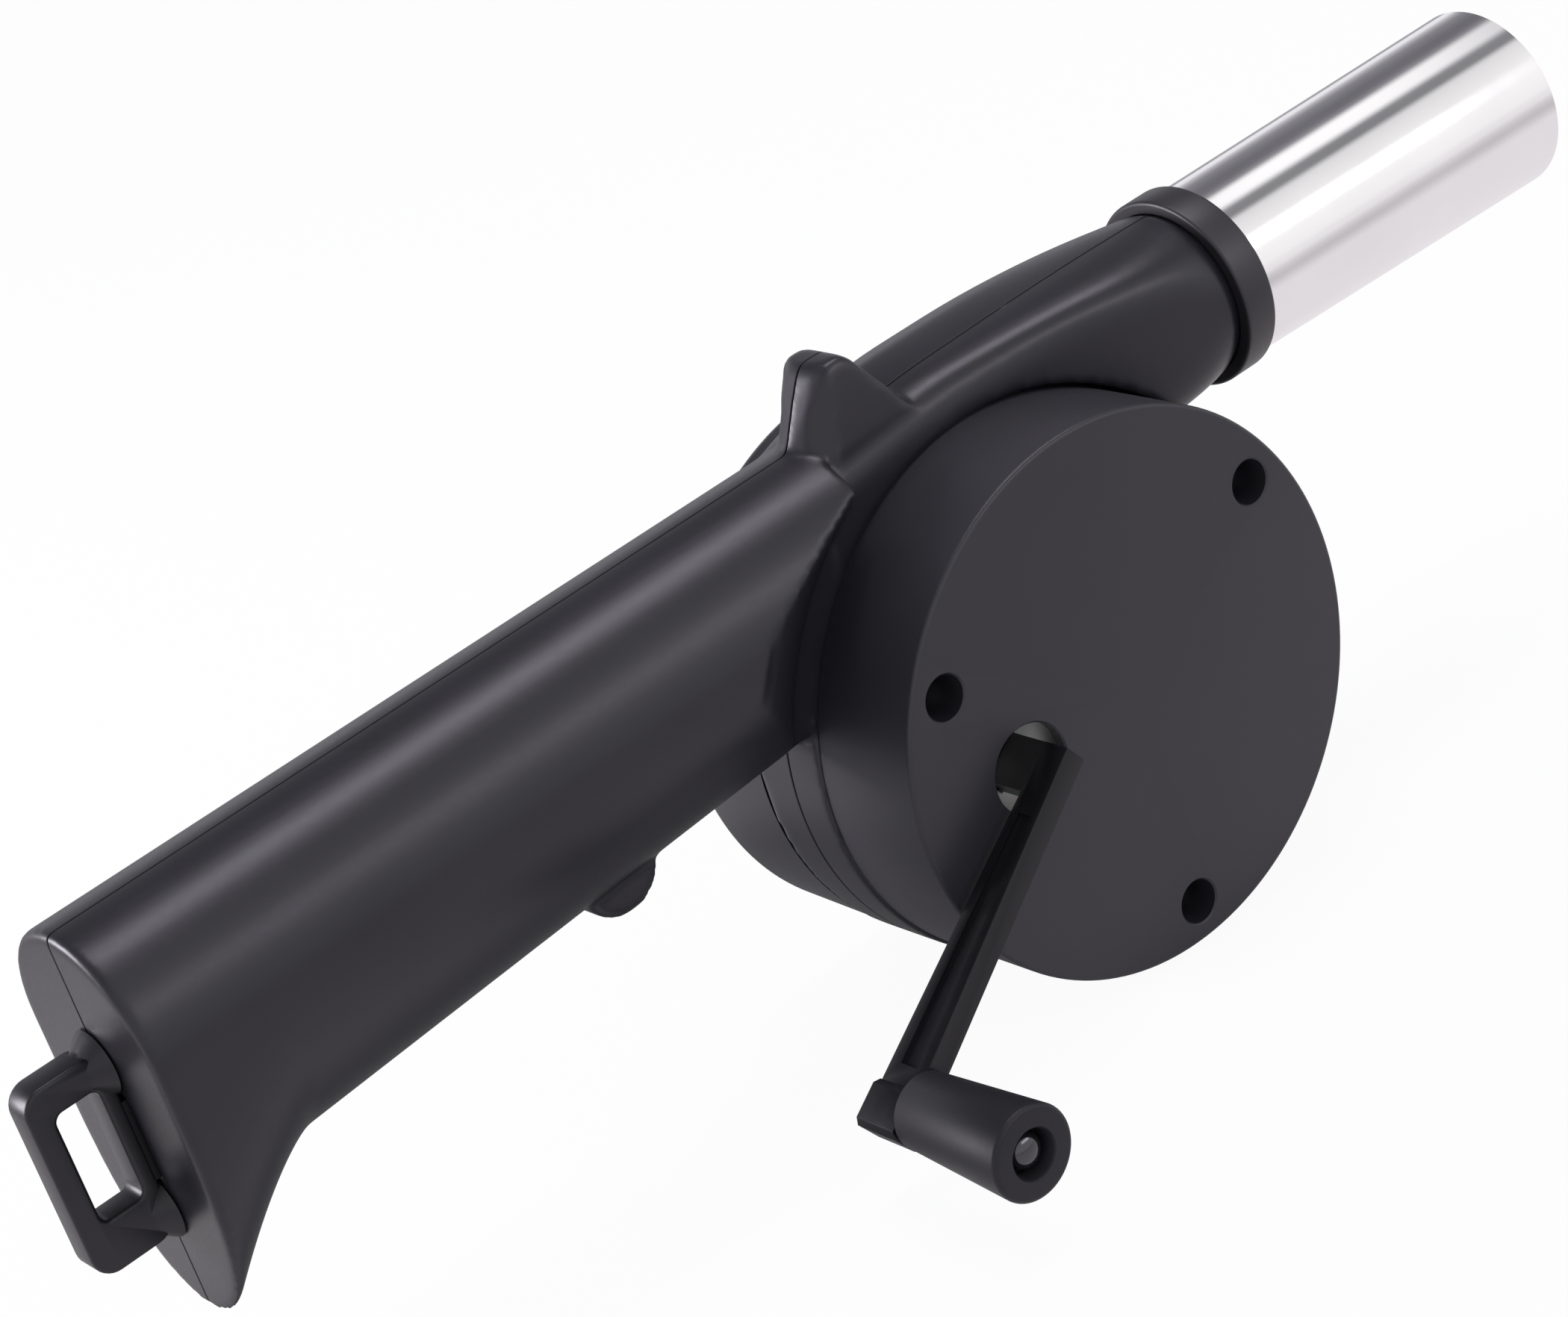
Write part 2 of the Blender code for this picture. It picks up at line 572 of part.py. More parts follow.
def body_core():
    """Both shells as one hollow solid, before the parting cut."""
    core = add_object("body_core", handle_mesh(), SIDE_VIEW, BLACK_PLASTIC)

    far = 3 * FACE_RADIUS
    for name, side, edge in (("gear_side", 1.0, GEAR_BAND), ("fan_side", -1.0, FAN_BAND)):
        turn = math.radians(SHOULDER_START)
        centre = (SHOULDER_RADIUS + SHOULDER_ROUND * math.cos(turn), edge - SHOULDER_ROUND * math.sin(turn))
        bend = arc(centre, SHOULDER_ROUND, 180.0 - SHOULDER_START, 180.0 - SHOULDER_STOP, 6)
        last = bend[-1][0]
        profile = [(0.0, edge), (bend[0][0], edge), *bend[1:], (last, far), (0.0, far)]
        ordered = list(reversed(profile)) if side > 0 else profile
        mesh = turned_mesh(name + "_shoulder", [(r, z * side) for r, z in ordered], ROUND_STEPS)
        boolean(core, add_object(name + "_shoulder", mesh, SIDE_VIEW))

    def join(name, mesh, location=(0.0, 0.0, 0.0), turn=(0.0, 0.0, 0.0)):
        boolean(core, add_object(name, mesh, SIDE_VIEW, None, location, turn), "UNION")

    def cut(name, mesh, location=(0.0, 0.0, 0.0), turn=(0.0, 0.0, 0.0)):
        boolean(core, add_object(name, mesh, SIDE_VIEW, None, location, turn))

    along_x = (0.0, math.pi / 2, 0.0)
    band = cylinder_mesh("drum_band", DRUM_RADIUS, -FAN_BAND - CUT_SPARE, GEAR_BAND + CUT_SPARE, ROUND_STEPS)
    join("drum_band", band)
    neck = [
        oval(x, TUBE_AXIS_Z + rise, TUBE_AXIS_Z - NECK_END_RADIUS, near, TUBE_AXIS_Z, away, shoulder)
        for x, rise, near, away, shoulder in NECK_SECTIONS
    ]
    join("neck", loft_mesh("neck", neck))
    hump = [
        [Vector((x, height, side)) for x, side in hump_plan(nose, corner, front, half)]
        for height, nose, corner, front, half in HUMP_LEVELS
    ]
    join("hump", loft_mesh("hump", hump))
    lug = cylinder_mesh("lug", LUG_RADIUS, -LUG_HALF_WIDTH, LUG_HALF_WIDTH, 2 * SMALL_STEPS)
    join("lug", lug, (LUG_X, LUG_Z, 0.0))

    room = cylinder_mesh("gear_room", DRUM_RADIUS + COVER_CLEAR, GEAR_BAND, far, ROUND_STEPS)
    cut("gear_room", room)
    room = cylinder_mesh("fan_room", DRUM_RADIUS + COVER_CLEAR, -far, -FAN_BAND, ROUND_STEPS)
    cut("fan_room", room)

    chamber = cylinder_mesh("chamber", CHAMBER_RADIUS, -far, PARTITION_BACK, ROUND_STEPS)
    cut("chamber", chamber)
    cavity = handle_stations(END_X + CAVITY_REAR_WALL, CAVITY_FRONT_X, SHELL_WALL)
    cut("handle_cavity", loft_mesh("handle_cavity", cavity))

    reach = LUG_HALF_WIDTH - 0.5 * MM
    post = cylinder_mesh("lug_post", LUG_POST_RADIUS, -reach, reach, SMALL_STEPS)
    join("lug_post", post, (LUG_X, LUG_Z, 0.0))
    reach = HANDLE_HALF_WIDTH - SHELL_WALL / 2 - 1.0 * MM
    post = cylinder_mesh("rear_post", REAR_POST_RADIUS, -reach, reach, SMALL_STEPS)
    join("rear_post", post, (REAR_SCREW_X, REAR_SCREW_Z, 0.0))

    spigot_end = NECK_END_X + SPIGOT_LENGTH
    spigot = cylinder_mesh("spigot", SPIGOT_RADIUS, NECK_END_X - 1.4 * MM, spigot_end, 2 * HALF_TURN_STEPS + 8)
    join("spigot", spigot, (0.0, TUBE_AXIS_Z, 0.0), along_x)
    duct = [
        oval(x, TUBE_AXIS_Z + rise, TUBE_AXIS_Z - drop, DUCT_NARROW, TUBE_AXIS_Z + widest)
        for x, rise, drop, widest in DUCT_MOUTH
    ]
    for x in (NECK_END_X - 8.8 * MM, spigot_end + 2 * MM):
        top, bottom = TUBE_AXIS_Z + DUCT_RADIUS, TUBE_AXIS_Z - DUCT_RADIUS
        duct.append(oval(x, top, bottom, DUCT_RADIUS, TUBE_AXIS_Z))
    cut("duct", loft_mesh("duct", duct))

    for i, angle in enumerate(WELLS):
        centre = (*well_centre(angle), 0.0)
        post = cylinder_mesh("gear_post", GEAR_POST_RADIUS, GEAR_BAND - 1 * MM, GEAR_POST_TOP, SMALL_STEPS)
        join(f"gear_post_{i + 1}", post, centre)
        boss = cylinder_mesh("fan_boss", FAN_BOSS_RADIUS, -FAN_BAND + 0.5 * MM, 0.0, SMALL_STEPS)
        join(f"fan_boss_{i + 1}", boss, centre)
    for name, x, y in (("crank", CRANK_X, 0.0), ("idler", IDLER_X, IDLER_Z)):
        low, high = PARTITION_BACK - PIN_BOSS_BACK, GEAR_BAND + PIN_BOSS_HEIGHT
        boss = cylinder_mesh("pin_boss", PIN_BOSS_RADIUS, low, high, SMALL_STEPS)
        join(name + "_pin_boss", boss, (x, y, 0.0))
    seat = cylinder_mesh(
        "bush_seat", BUSH_SEAT_RADIUS, PARTITION_BACK - PIN_BOSS_BACK + 0.4 * MM, GEAR_BAND + 0.3 * MM, 24
    )
    join("bush_seat", seat)

    pilot = SCREW_RADIUS + SEAT_GAP
    for i, angle in enumerate(WELLS):
        centre = (*well_centre(angle), 0.0)
        low = GEAR_POST_TOP - SCREW_GRIP - SEAT_GAP
        hole = cylinder_mesh("gear_pilot", pilot, low, GEAR_POST_TOP + 1 * MM, SCREW_STEPS)
        cut(f"gear_pilot_{i + 1}", hole, centre)
        high = -FAN_BAND + SCREW_GRIP + SEAT_GAP
        hole = cylinder_mesh("fan_pilot", pilot, -FAN_BAND - 1 * MM, high, SCREW_STEPS)
        cut(f"fan_pilot_{i + 1}", hole, centre)
    for name, x, y, pin in (
        ("crank", CRANK_X, 0.0, CRANK_PIN_RADIUS),
        ("idler", IDLER_X, IDLER_Z, PIN_RADIUS),
    ):
        low = GEAR_BAND + PIN_BOSS_HEIGHT - PIN_ROOT - SEAT_GAP
        hole = cylinder_mesh("pin_hole", pin + SEAT_GAP, low, GEAR_BAND + 3 * MM, SMALL_STEPS)
        cut(name + "_pin_hole", hole, (x, y, 0.0))
    hole = cylinder_mesh("bush_hole", BUSH_RADIUS + SEAT_GAP, 0.0, GEAR_BAND + 3 * MM, 24)
    cut("bush_hole", hole)

    for name, x, y, half_width, well in SHELL_SCREWS:
        head = SCREW_HEAD_RADIUS + 2 * SEAT_GAP
        mesh = cylinder_mesh("head_well", head, -half_width - 4 * MM, -half_width + well, SMALL_STEPS)
        cut(name + "_head_well", mesh, (x, y, 0.0))
        mesh = cylinder_mesh("shell_hole", pilot, -half_width, SHELL_PILOT_DEPTH + SEAT_GAP, SCREW_STEPS)
        cut(name + "_hole", mesh, (x, y, 0.0))

    low_z = (LOOP_LOW_Z + LOOP_HIGH_Z - LOOP_TENON_HEIGHT) / 2 - SEAT_GAP
    side = LOOP_THICK / 2 + SEAT_GAP
    slot = box_mesh(
        "loop_slot",
        (END_X - 2 * MM, low_z, -side),
        (END_X + CAVITY_REAR_WALL + 2 * MM, low_z + LOOP_TENON_HEIGHT + 2 * SEAT_GAP, side),
    )
    cut("loop_slot", slot)
    return core


SHELL_SCREWS = (
    ("hump", HUMP_X, HUMP_Z, HUMP_HALF_WIDTH, SHELL_WELL_DEPTH),
    ("lug", LUG_X, LUG_Z, LUG_HALF_WIDTH, SHELL_WELL_DEPTH),
    ("rear", REAR_SCREW_X, REAR_SCREW_Z, HANDLE_HALF_WIDTH, REAR_WELL_DEPTH),
)


def shells():
    """The two handle shells: the core, cut at the parting plane with a thin gap."""
    core = body_core()
    mesh = evaluated_mesh(core, "body_core_mesh")
    modifiers = [modifier.object for modifier in core.modifiers]
    bpy.data.objects.remove(core, do_unlink=True)
    for cutter in modifiers:
        bpy.data.objects.remove(cutter, do_unlink=True)
    far = 3 * FACE_RADIUS
    half_gap = SEAT_GAP / 2
    for name, low, high in (("right_shell", -far, half_gap), ("left_shell", -half_gap, far)):
        shell = add_object(name, mesh.copy(), SIDE_VIEW, BLACK_PLASTIC)
        cutter = box_mesh(name + "_cut", (-2 * far, -2 * far, low), (2 * far, 2 * far, high))
        boolean(shell, add_object(name + "_cut", cutter, SIDE_VIEW))
        smooth(shell)


def gear_cover():
    """Turned cap with a flat face, three screw wells, the crank hole and two bosses for shaft ends."""
    skirt = GEAR_BAND + SEAT_GAP
    edge = arc((FACE_RADIUS - GEAR_EDGE_ROUND, FACE_Z - GEAR_EDGE_ROUND), GEAR_EDGE_ROUND, 90.0, 0.0, 3)
    profile = [
        (0.0, FACE_Z),
        *edge,
        (FACE_RADIUS, skirt),
        (COVER_BORE_RADIUS, skirt),
        (COVER_BORE_RADIUS, COVER_INNER_Z),
        (0.0, COVER_INNER_Z),
    ]
    cover = add_object("gear_cover", turned_mesh("gear_cover", profile, ROUND_STEPS), SIDE_VIEW, COVER_PLASTIC)
    floor = GEAR_POST_TOP + SEAT_GAP
    for i, angle in enumerate(WELLS):
        centre = (*well_centre(angle), 0.0)
        post = cylinder_mesh("well_post", WELL_POST_RADIUS, floor, COVER_INNER_Z + 0.8 * MM, SMALL_STEPS)
        boolean(cover, add_object(f"cover_post_{i + 1}", post, SIDE_VIEW, None, centre), "UNION")
    for name, x, y in (("fan", 0.0, 0.0), ("idler", IDLER_X, IDLER_Z)):
        low = COVER_INNER_Z - COVER_BOSS_HEIGHT
        boss = cylinder_mesh("cover_boss", PIN_BOSS_RADIUS, low, COVER_INNER_Z + 0.8 * MM, SMALL_STEPS)
        boolean(cover, add_object(name + "_cover_boss", boss, SIDE_VIEW, None, (x, y, 0.0)), "UNION")
        bore = cylinder_mesh("cover_bore", PIN_RADIUS + RUN_GAP, low - 1 * MM, low + COVER_BOSS_BORE, SMALL_STEPS)
        boolean(cover, add_object(name + "_cover_bore", bore, SIDE_VIEW, None, (x, y, 0.0)))
    for i, angle in enumerate(WELLS):
        centre = (*well_centre(angle), 0.0)
        well = cylinder_mesh("well", WELL_RADIUS, floor + WELL_FLOOR, FACE_Z + 2 * MM, WELL_STEPS)
        boolean(cover, add_object(f"cover_well_{i + 1}", well, SIDE_VIEW, None, centre))
        hole = cylinder_mesh("well_hole", SCREW_RADIUS + SEAT_GAP, floor - 2 * MM, FACE_Z, SCREW_STEPS)
        boolean(cover, add_object(f"cover_hole_{i + 1}", hole, SIDE_VIEW, None, centre))
    hole = cylinder_mesh("crank_hole", CRANK_HOLE_RADIUS, COVER_INNER_Z - 3 * MM, FACE_Z + 2 * MM, KNOB_STEPS)
    boolean(cover, add_object("crank_hole", hole, SIDE_VIEW, None, (CRANK_X, 0.0, 0.0)))
    smooth(cover)


def inlet_cover():
    """Turned cap on the far side, with the grille that lets the air in and a seat for the fan bush."""
    skirt = -(FAN_BAND + SEAT_GAP)
    edge = arc((FACE_RADIUS - INLET_EDGE_ROUND, INLET_Z + INLET_EDGE_ROUND), INLET_EDGE_ROUND, 0.0, -90.0, 4)
    profile = [
        (0.0, INLET_INNER_Z),
        (COVER_BORE_RADIUS, INLET_INNER_Z),
        (COVER_BORE_RADIUS, skirt),
        (FACE_RADIUS + 0.3 * MM, skirt),
        *edge,
        (0.0, INLET_Z),
    ]
    mesh = turned_mesh("inlet_cover", profile, ROUND_STEPS)
    cover = add_object("inlet_cover", mesh, SIDE_VIEW, BLACK_PLASTIC)
    floor = skirt
    for i, angle in enumerate(WELLS):
        centre = (*well_centre(angle), 0.0)
        post = cylinder_mesh("inlet_post", WELL_POST_RADIUS, INLET_INNER_Z - 0.8 * MM, floor, SMALL_STEPS)
        boolean(cover, add_object(f"inlet_post_{i + 1}", post, SIDE_VIEW, None, centre), "UNION")
    seat_end = INLET_INNER_Z + BUSH_LENGTH - 1.4 * MM
    seat = cylinder_mesh("inlet_seat", BUSH_SEAT_RADIUS, INLET_INNER_Z - 0.8 * MM, seat_end, 24)
    boolean(cover, add_object("inlet_bush_seat", seat, SIDE_VIEW), "UNION")
    bore_end = seat_end - BUSH_LENGTH + BUSH_FLANGE - SEAT_GAP
    bore = cylinder_mesh("inlet_bush_bore", BUSH_RADIUS + SEAT_GAP, bore_end, seat_end + 2 * MM, 24)
    boolean(cover, add_object("inlet_bush_bore", bore, SIDE_VIEW))
    for i, angle in enumerate(WELLS):
        centre = (*well_centre(angle), 0.0)
        well = cylinder_mesh("inlet_well", WELL_RADIUS, INLET_Z - 2 * MM, floor - WELL_FLOOR, WELL_STEPS)
        boolean(cover, add_object(f"inlet_well_{i + 1}", well, SIDE_VIEW, None, centre))
        hole = cylinder_mesh("inlet_hole", SCREW_RADIUS + SEAT_GAP, INLET_Z, floor + 2 * MM, SCREW_STEPS)
        boolean(cover, add_object(f"inlet_hole_{i + 1}", hole, SIDE_VIEW, None, centre))
    half = SLOT_WIDTH / 2
    outline = arc((SLOT_INNER_RADIUS + half, 0.0), half, 90.0, 270.0, 3)
    outline += arc((SLOT_OUTER_RADIUS - half, 0.0), half, -90.0, 90.0, 3)
    for i in range(GRILLE_SLOTS):
        slot = plate_mesh("slot", [outline], INLET_Z - 1 * MM, INLET_INNER_Z + 1 * MM)
        angle = 2 * math.pi * (i + 0.5) / GRILLE_SLOTS
        boolean(cover, add_object(f"grille_slot_{i + 1}", slot, SIDE_VIEW, None, (0, 0, 0), (0, 0, angle)))
    smooth(cover)


def cover_screws():
    """Three screws for each cover, deep in their wells."""
    for i, angle in enumerate(WELLS):
        x, y = well_centre(angle)
        length = WELL_FLOOR + SEAT_GAP + SCREW_GRIP
        mesh = screw_mesh("gear_cover_screw", SCREW_HEAD_RADIUS, SCREW_HEAD_HEIGHT, SCREW_RADIUS, length)
        seat = GEAR_POST_TOP + SEAT_GAP + WELL_FLOOR + SEAT_GAP
        screw = add_object(f"gear_cover_screw_{i + 1}", mesh, SIDE_VIEW, ZINC, (x, y, seat))
        smooth(screw)
        seat = -(FAN_BAND + SEAT_GAP + WELL_FLOOR + SEAT_GAP)
        screw = add_object(
            f"inlet_cover_screw_{i + 1}", mesh.copy(), SIDE_VIEW, ZINC, (x, y, seat), (math.pi, 0.0, 0.0)
        )
        smooth(screw)


def shell_screws():
    """The screws that draw the two shells together, driven from the far side."""
    for name, x, y, half_width, well in SHELL_SCREWS:
        seat = -half_width + well - SEAT_GAP
        length = SHELL_PILOT_DEPTH - seat - SEAT_GAP
        mesh = screw_mesh("shell_screw", SCREW_HEAD_RADIUS, SCREW_HEAD_HEIGHT, SCREW_RADIUS, length)
        screw = add_object(f"shell_screw_{name}", mesh, SIDE_VIEW, ZINC, (x, y, seat), (math.pi, 0.0, 0.0))
        smooth(screw)


def outlet():
    """The collar ring and the flared steel tube, both around the neck's spigot."""
    along_x = (0.0, math.pi / 2, 0.0)
    inner = SPIGOT_RADIUS + SEAT_GAP
    start = NECK_END_X + GROOVE_WIDTH
    tube_start = start + 1.2 * MM
    length = TUBE_MOUTH_X - tube_start
    tube = [
        (TUBE_MOUTH_RADIUS - TUBE_WALL, length),
        (TUBE_MOUTH_RADIUS, length),
        (inner + TUBE_WALL, COLLAR_WIDTH),
        (inner + TUBE_WALL, 0.0),
        (inner, 0.0),
        (inner, SPIGOT_LENGTH),
    ]
    mesh = turned_mesh("outlet_tube", tube, ROUND_STEPS - 8, ring=True)
    smooth(add_object("outlet_tube", mesh, SIDE_VIEW, STEEL, (tube_start, TUBE_AXIS_Z, 0.0), along_x))
    bore = inner + TUBE_WALL + SEAT_GAP
    edge = 0.6 * MM
    collar = [
        (bore, COLLAR_WIDTH),
        (COLLAR_RADIUS - edge, COLLAR_WIDTH),
        (COLLAR_RADIUS, COLLAR_WIDTH - edge),
        (COLLAR_RADIUS, edge),
        (COLLAR_RADIUS - edge, 0.0),
        (inner, 0.0),
        (inner, 0.9 * MM),
        (bore, 0.9 * MM),
    ]
    mesh = turned_mesh("collar_ring", collar, ROUND_STEPS - 8, ring=True)
    smooth(add_object("collar_ring", mesh, SIDE_VIEW, GLOSS_BLACK, (start, TUBE_AXIS_Z, 0.0), along_x))


def rounded_box(left, low, right, high, radius):
    """Outline of a rectangle with rounded corners, anticlockwise."""
    corners = (
        ((right - radius, high - radius), 0.0),
        ((left + radius, high - radius), 90.0),
        ((left + radius, low + radius), 180.0),
        ((right - radius, low + radius), 270.0),
    )
    points = []
    for centre, start in corners:
        points += arc(centre, radius, start, start + 90.0, 4)
    return points


def hanging_loop():
    """A flat moulded loop: a frame outside the end face and a tenon with a head trapped inside."""
    right = END_X - SEAT_GAP
    left = right - LOOP_WIDTH
    middle = (LOOP_LOW_Z + LOOP_HIGH_Z) / 2
    outer = rounded_box(left, LOOP_LOW_Z, right, LOOP_HIGH_Z, LOOP_OUTER_ROUND)
    hole = rounded_box(
        left + LOOP_SIDE_BAR,
        LOOP_LOW_Z + LOOP_LOW_BAR,
        right - LOOP_ROOT_BAR,
        LOOP_HIGH_Z - LOOP_HIGH_BAR,
        LOOP_HOLE_ROUND,
    )
    half = LOOP_THICK / 2
    loop = add_object("hanging_loop", plate_mesh("hanging_loop", [outer, hole], -half, half), SIDE_VIEW, GLOSS_BLACK)
    head_x = END_X + CAVITY_REAR_WALL + SEAT_GAP
    tenon = box_mesh(
        "loop_tenon",
        (right - 0.8 * MM, middle - LOOP_TENON_HEIGHT / 2, -half + 0.1 * MM),
        (head_x + LOOP_HEAD_THICK / 2, middle + LOOP_TENON_HEIGHT / 2, half - 0.1 * MM),
    )
    boolean(loop, add_object("loop_tenon", tenon, SIDE_VIEW), "UNION")
    head = box_mesh(
        "loop_head",
        (head_x, middle - LOOP_HEAD_HEIGHT / 2, -half - LOOP_HEAD_LEDGE),
        (head_x + LOOP_HEAD_THICK, middle + LOOP_HEAD_HEIGHT / 2, half + LOOP_HEAD_LEDGE),
    )
    boolean(loop, add_object("loop_head", head, SIDE_VIEW), "UNION")
    smooth(loop)


def crank():
    """Arm, tang, gear, knob and knob screw, drawn with the arm along the crank frame's own X."""
    frame = make_empty("crank_axis", SIDE_VIEW, (CRANK_X, 0.0, 0.0), math.pi + CRANK_ANGLE)
    back = FACE_Z + ARM_STANDOFF
    front = back + ARM_DEPTH
    half = ARM_WIDTH / 2
    end_half = ARM_END_WIDTH / 2
    end_start = CRANK_THROW - ARM_END_LENGTH / 2
    end_stop = CRANK_THROW + ARM_END_LENGTH / 2
    nip = 0.9 * MM
    outline = [
        (-TANG_LENGTH / 2, -half),
        (end_start, -half),
        (end_start + nip, -end_half),
        (end_stop - nip, -end_half),
        (end_stop, -end_half + nip),
        (end_stop, end_half - nip),
        (end_stop - nip, end_half),
        (end_start + nip, end_half),
        (end_start, half),
        (-TANG_LENGTH / 2, half),
    ]
    arm = add_object("crank_arm", plate_mesh("crank_arm", [outline], back, front), frame, GLOSS_BLACK)
    gear_face = CRANK_GEAR_BACK + CRANK_GEAR_THICK
    tang = box_mesh(
        "tang",
        (-TANG_LENGTH / 2 + 0.02 * MM, -half + 0.02 * MM, gear_face - TANG_REACH),
        (TANG_LENGTH / 2, half - 0.02 * MM, back + 1 * MM),
    )
    boolean(arm, add_object("tang", tang, frame), "UNION")
    groove_z = (back + front) / 2
    for side in (-1.0, 1.0):
        low, high = sorted((side * (half - ARM_GROOVE_DEPTH), side * (half + 1 * MM)))
        groove = box_mesh(
            "arm_groove",
            (TANG_LENGTH / 2 + 3 * MM, low, groove_z - ARM_GROOVE_WIDTH / 2),
            (end_start - 2 * MM, high, groove_z + ARM_GROOVE_WIDTH / 2),
        )
        boolean(arm, add_object(f"arm_groove_{'left' if side < 0 else 'right'}", groove, frame))
    hole = cylinder_mesh("arm_hole", KNOB_SCREW_RADIUS + SEAT_GAP, back - 1 * MM, front + 1 * MM, SMALL_STEPS)
    boolean(arm, add_object("arm_hole", hole, frame, None, (CRANK_THROW, 0.0, 0.0)))
    smooth(arm)

    wheel = plate_mesh("crank_gear", gear_outline(WHEEL_TEETH, -PROFILE_SHIFT, None, 2), CRANK_GEAR_BACK, gear_face)
    gear = add_object("crank_gear", wheel, frame, WHITE_NYLON)
    hub_low = GEAR_BAND + PIN_BOSS_HEIGHT + RUN_GAP
    hub = cylinder_mesh("crank_hub", CRANK_GEAR_HUB_RADIUS, hub_low, CRANK_GEAR_BACK + 1 * MM, 24)
    boolean(gear, add_object("crank_hub", hub, frame), "UNION")
    web = turned_mesh(
        "crank_web",
        [
            (MODULE * WHEEL_TEETH / 2 - 3.4 * MM, CRANK_GEAR_BACK - 1 * MM),
            (MODULE * WHEEL_TEETH / 2 - 3.4 * MM, CRANK_GEAR_BACK + 2 * MM),
            (CRANK_GEAR_HUB_RADIUS + 1.2 * MM, CRANK_GEAR_BACK + 2 * MM),
            (CRANK_GEAR_HUB_RADIUS + 1.2 * MM, CRANK_GEAR_BACK - 1 * MM),
        ],
        24,
        ring=True,
    )
    boolean(gear, add_object("crank_web", web, frame))
    low = gear_face - TANG_REACH - SEAT_GAP
    socket = box_mesh(
        "socket",
        (-TANG_LENGTH / 2 - SEAT_GAP, -half - SEAT_GAP, low),
        (TANG_LENGTH / 2 + SEAT_GAP, half + SEAT_GAP, gear_face + 1 * MM),
    )
    boolean(gear, add_object("socket", socket, frame))
    bore = cylinder_mesh("gear_bore", CRANK_PIN_RADIUS + RUN_GAP, hub_low - 1 * MM, low + 0.5 * MM, SMALL_STEPS)
    boolean(gear, add_object("crank_gear_bore", bore, frame))
    smooth(gear)

    pin_low = GEAR_BAND + PIN_BOSS_HEIGHT - PIN_ROOT
    pin_high = gear_face - TANG_REACH - SEAT_GAP
    pin = cylinder_mesh("crank_pin", CRANK_PIN_RADIUS, pin_low, pin_high, SMALL_STEPS)
    smooth(add_object("crank_pin", pin, SIDE_VIEW, ZINC, (CRANK_X, 0.0, 0.0)))

    knob_frame = make_empty("knob_axis", frame, (CRANK_THROW, 0.0, 0.0))
    knob_low = front + RUN_GAP
    knob_high = knob_low + KNOB_LENGTH
    bore = KNOB_SCREW_RADIUS + RUN_GAP
    edge = KNOB_EDGE_ROUND
    recess = knob_high - KNOB_RECESS_DEPTH
    profile = [
        (KNOB_RECESS_RADIUS, knob_high),
        *arc((KNOB_END_RADIUS - edge, knob_high - edge), edge, 90.0, 0.0, 3),
        (KNOB_BASE_RADIUS, knob_low + 0.4 * MM),
        (KNOB_BASE_RADIUS - 0.4 * MM, knob_low),
        (bore, knob_low),
        (bore, recess),
        (KNOB_RECESS_RADIUS - 0.3 * MM, recess),
    ]
    knob = add_object("crank_knob", turned_mesh("crank_knob", profile, KNOB_STEPS, ring=True), knob_frame, BLACK_PLASTIC)
    smooth(knob)

    seat = recess + SEAT_GAP
    head, rise = KNOB_SCREW_HEAD_RADIUS, KNOB_SCREW_HEAD_HEIGHT
    foot = front - KNOB_SCREW_GRIP
    dome = []
    for i in range(6):
        turn = math.radians(90.0 * (5 - i) / 5)
        dome.append((head * math.cos(turn), seat + 0.4 * MM + (rise - 0.4 * MM) * math.sin(turn)))
    dome[0] = (0.0, seat + rise)
    profile = [*dome, (head, seat), (KNOB_SCREW_RADIUS, seat), (KNOB_SCREW_RADIUS, foot), (0.0, foot)]
    screw = add_object("knob_screw", turned_mesh("knob_screw", profile, WELL_STEPS), knob_frame, ZINC)
    smooth(screw)


def idler():
    """Compound gear: a wheel that drives the fan pinion and a pinion that the crank gear drives."""
    towards = math.atan2(IDLER_Z, IDLER_X - CRANK_X)
    turn = mesh_phase(math.pi + CRANK_ANGLE, WHEEL_TEETH, towards, PINION_TEETH)
    frame = make_empty("idler_axis", SIDE_VIEW, (IDLER_X, IDLER_Z, 0.0), turn)
    wheel_top = IDLER_WHEEL_BACK + IDLER_WHEEL_THICK
    top = CRANK_GEAR_BACK + CRANK_GEAR_THICK
    outline = gear_outline(WHEEL_TEETH, -PROFILE_SHIFT, None, 2)
    mesh = plate_mesh("idler_gear", outline, IDLER_WHEEL_BACK, wheel_top)
    gear = add_object("idler_gear", mesh, frame, WHITE_NYLON)
    pinion = plate_mesh("idler_pinion", gear_outline(PINION_TEETH, PROFILE_SHIFT), wheel_top - 1 * MM, top)
    boolean(gear, add_object("idler_pinion", pinion, frame), "UNION")
    hub_low = GEAR_BAND + PIN_BOSS_HEIGHT + RUN_GAP
    hub = cylinder_mesh("idler_hub", PIN_RADIUS + 1.8 * MM, hub_low, IDLER_WHEEL_BACK + 1 * MM, SMALL_STEPS)
    boolean(gear, add_object("idler_hub", hub, frame), "UNION")
    bore = cylinder_mesh("idler_bore", PIN_RADIUS + RUN_GAP, hub_low - 1 * MM, top + 1 * MM, SMALL_STEPS)
    boolean(gear, add_object("idler_bore", bore, frame))
    smooth(gear)

    pin_low = GEAR_BAND + PIN_BOSS_HEIGHT - PIN_ROOT
    pin_high = COVER_INNER_Z - COVER_BOSS_HEIGHT + COVER_BOSS_BORE - SEAT_GAP
    pin = cylinder_mesh("idler_pin", PIN_RADIUS, pin_low, pin_high, SMALL_STEPS)
    smooth(add_object("idler_pin", pin, SIDE_VIEW, ZINC, (IDLER_X, IDLER_Z, 0.0)))
    return turn


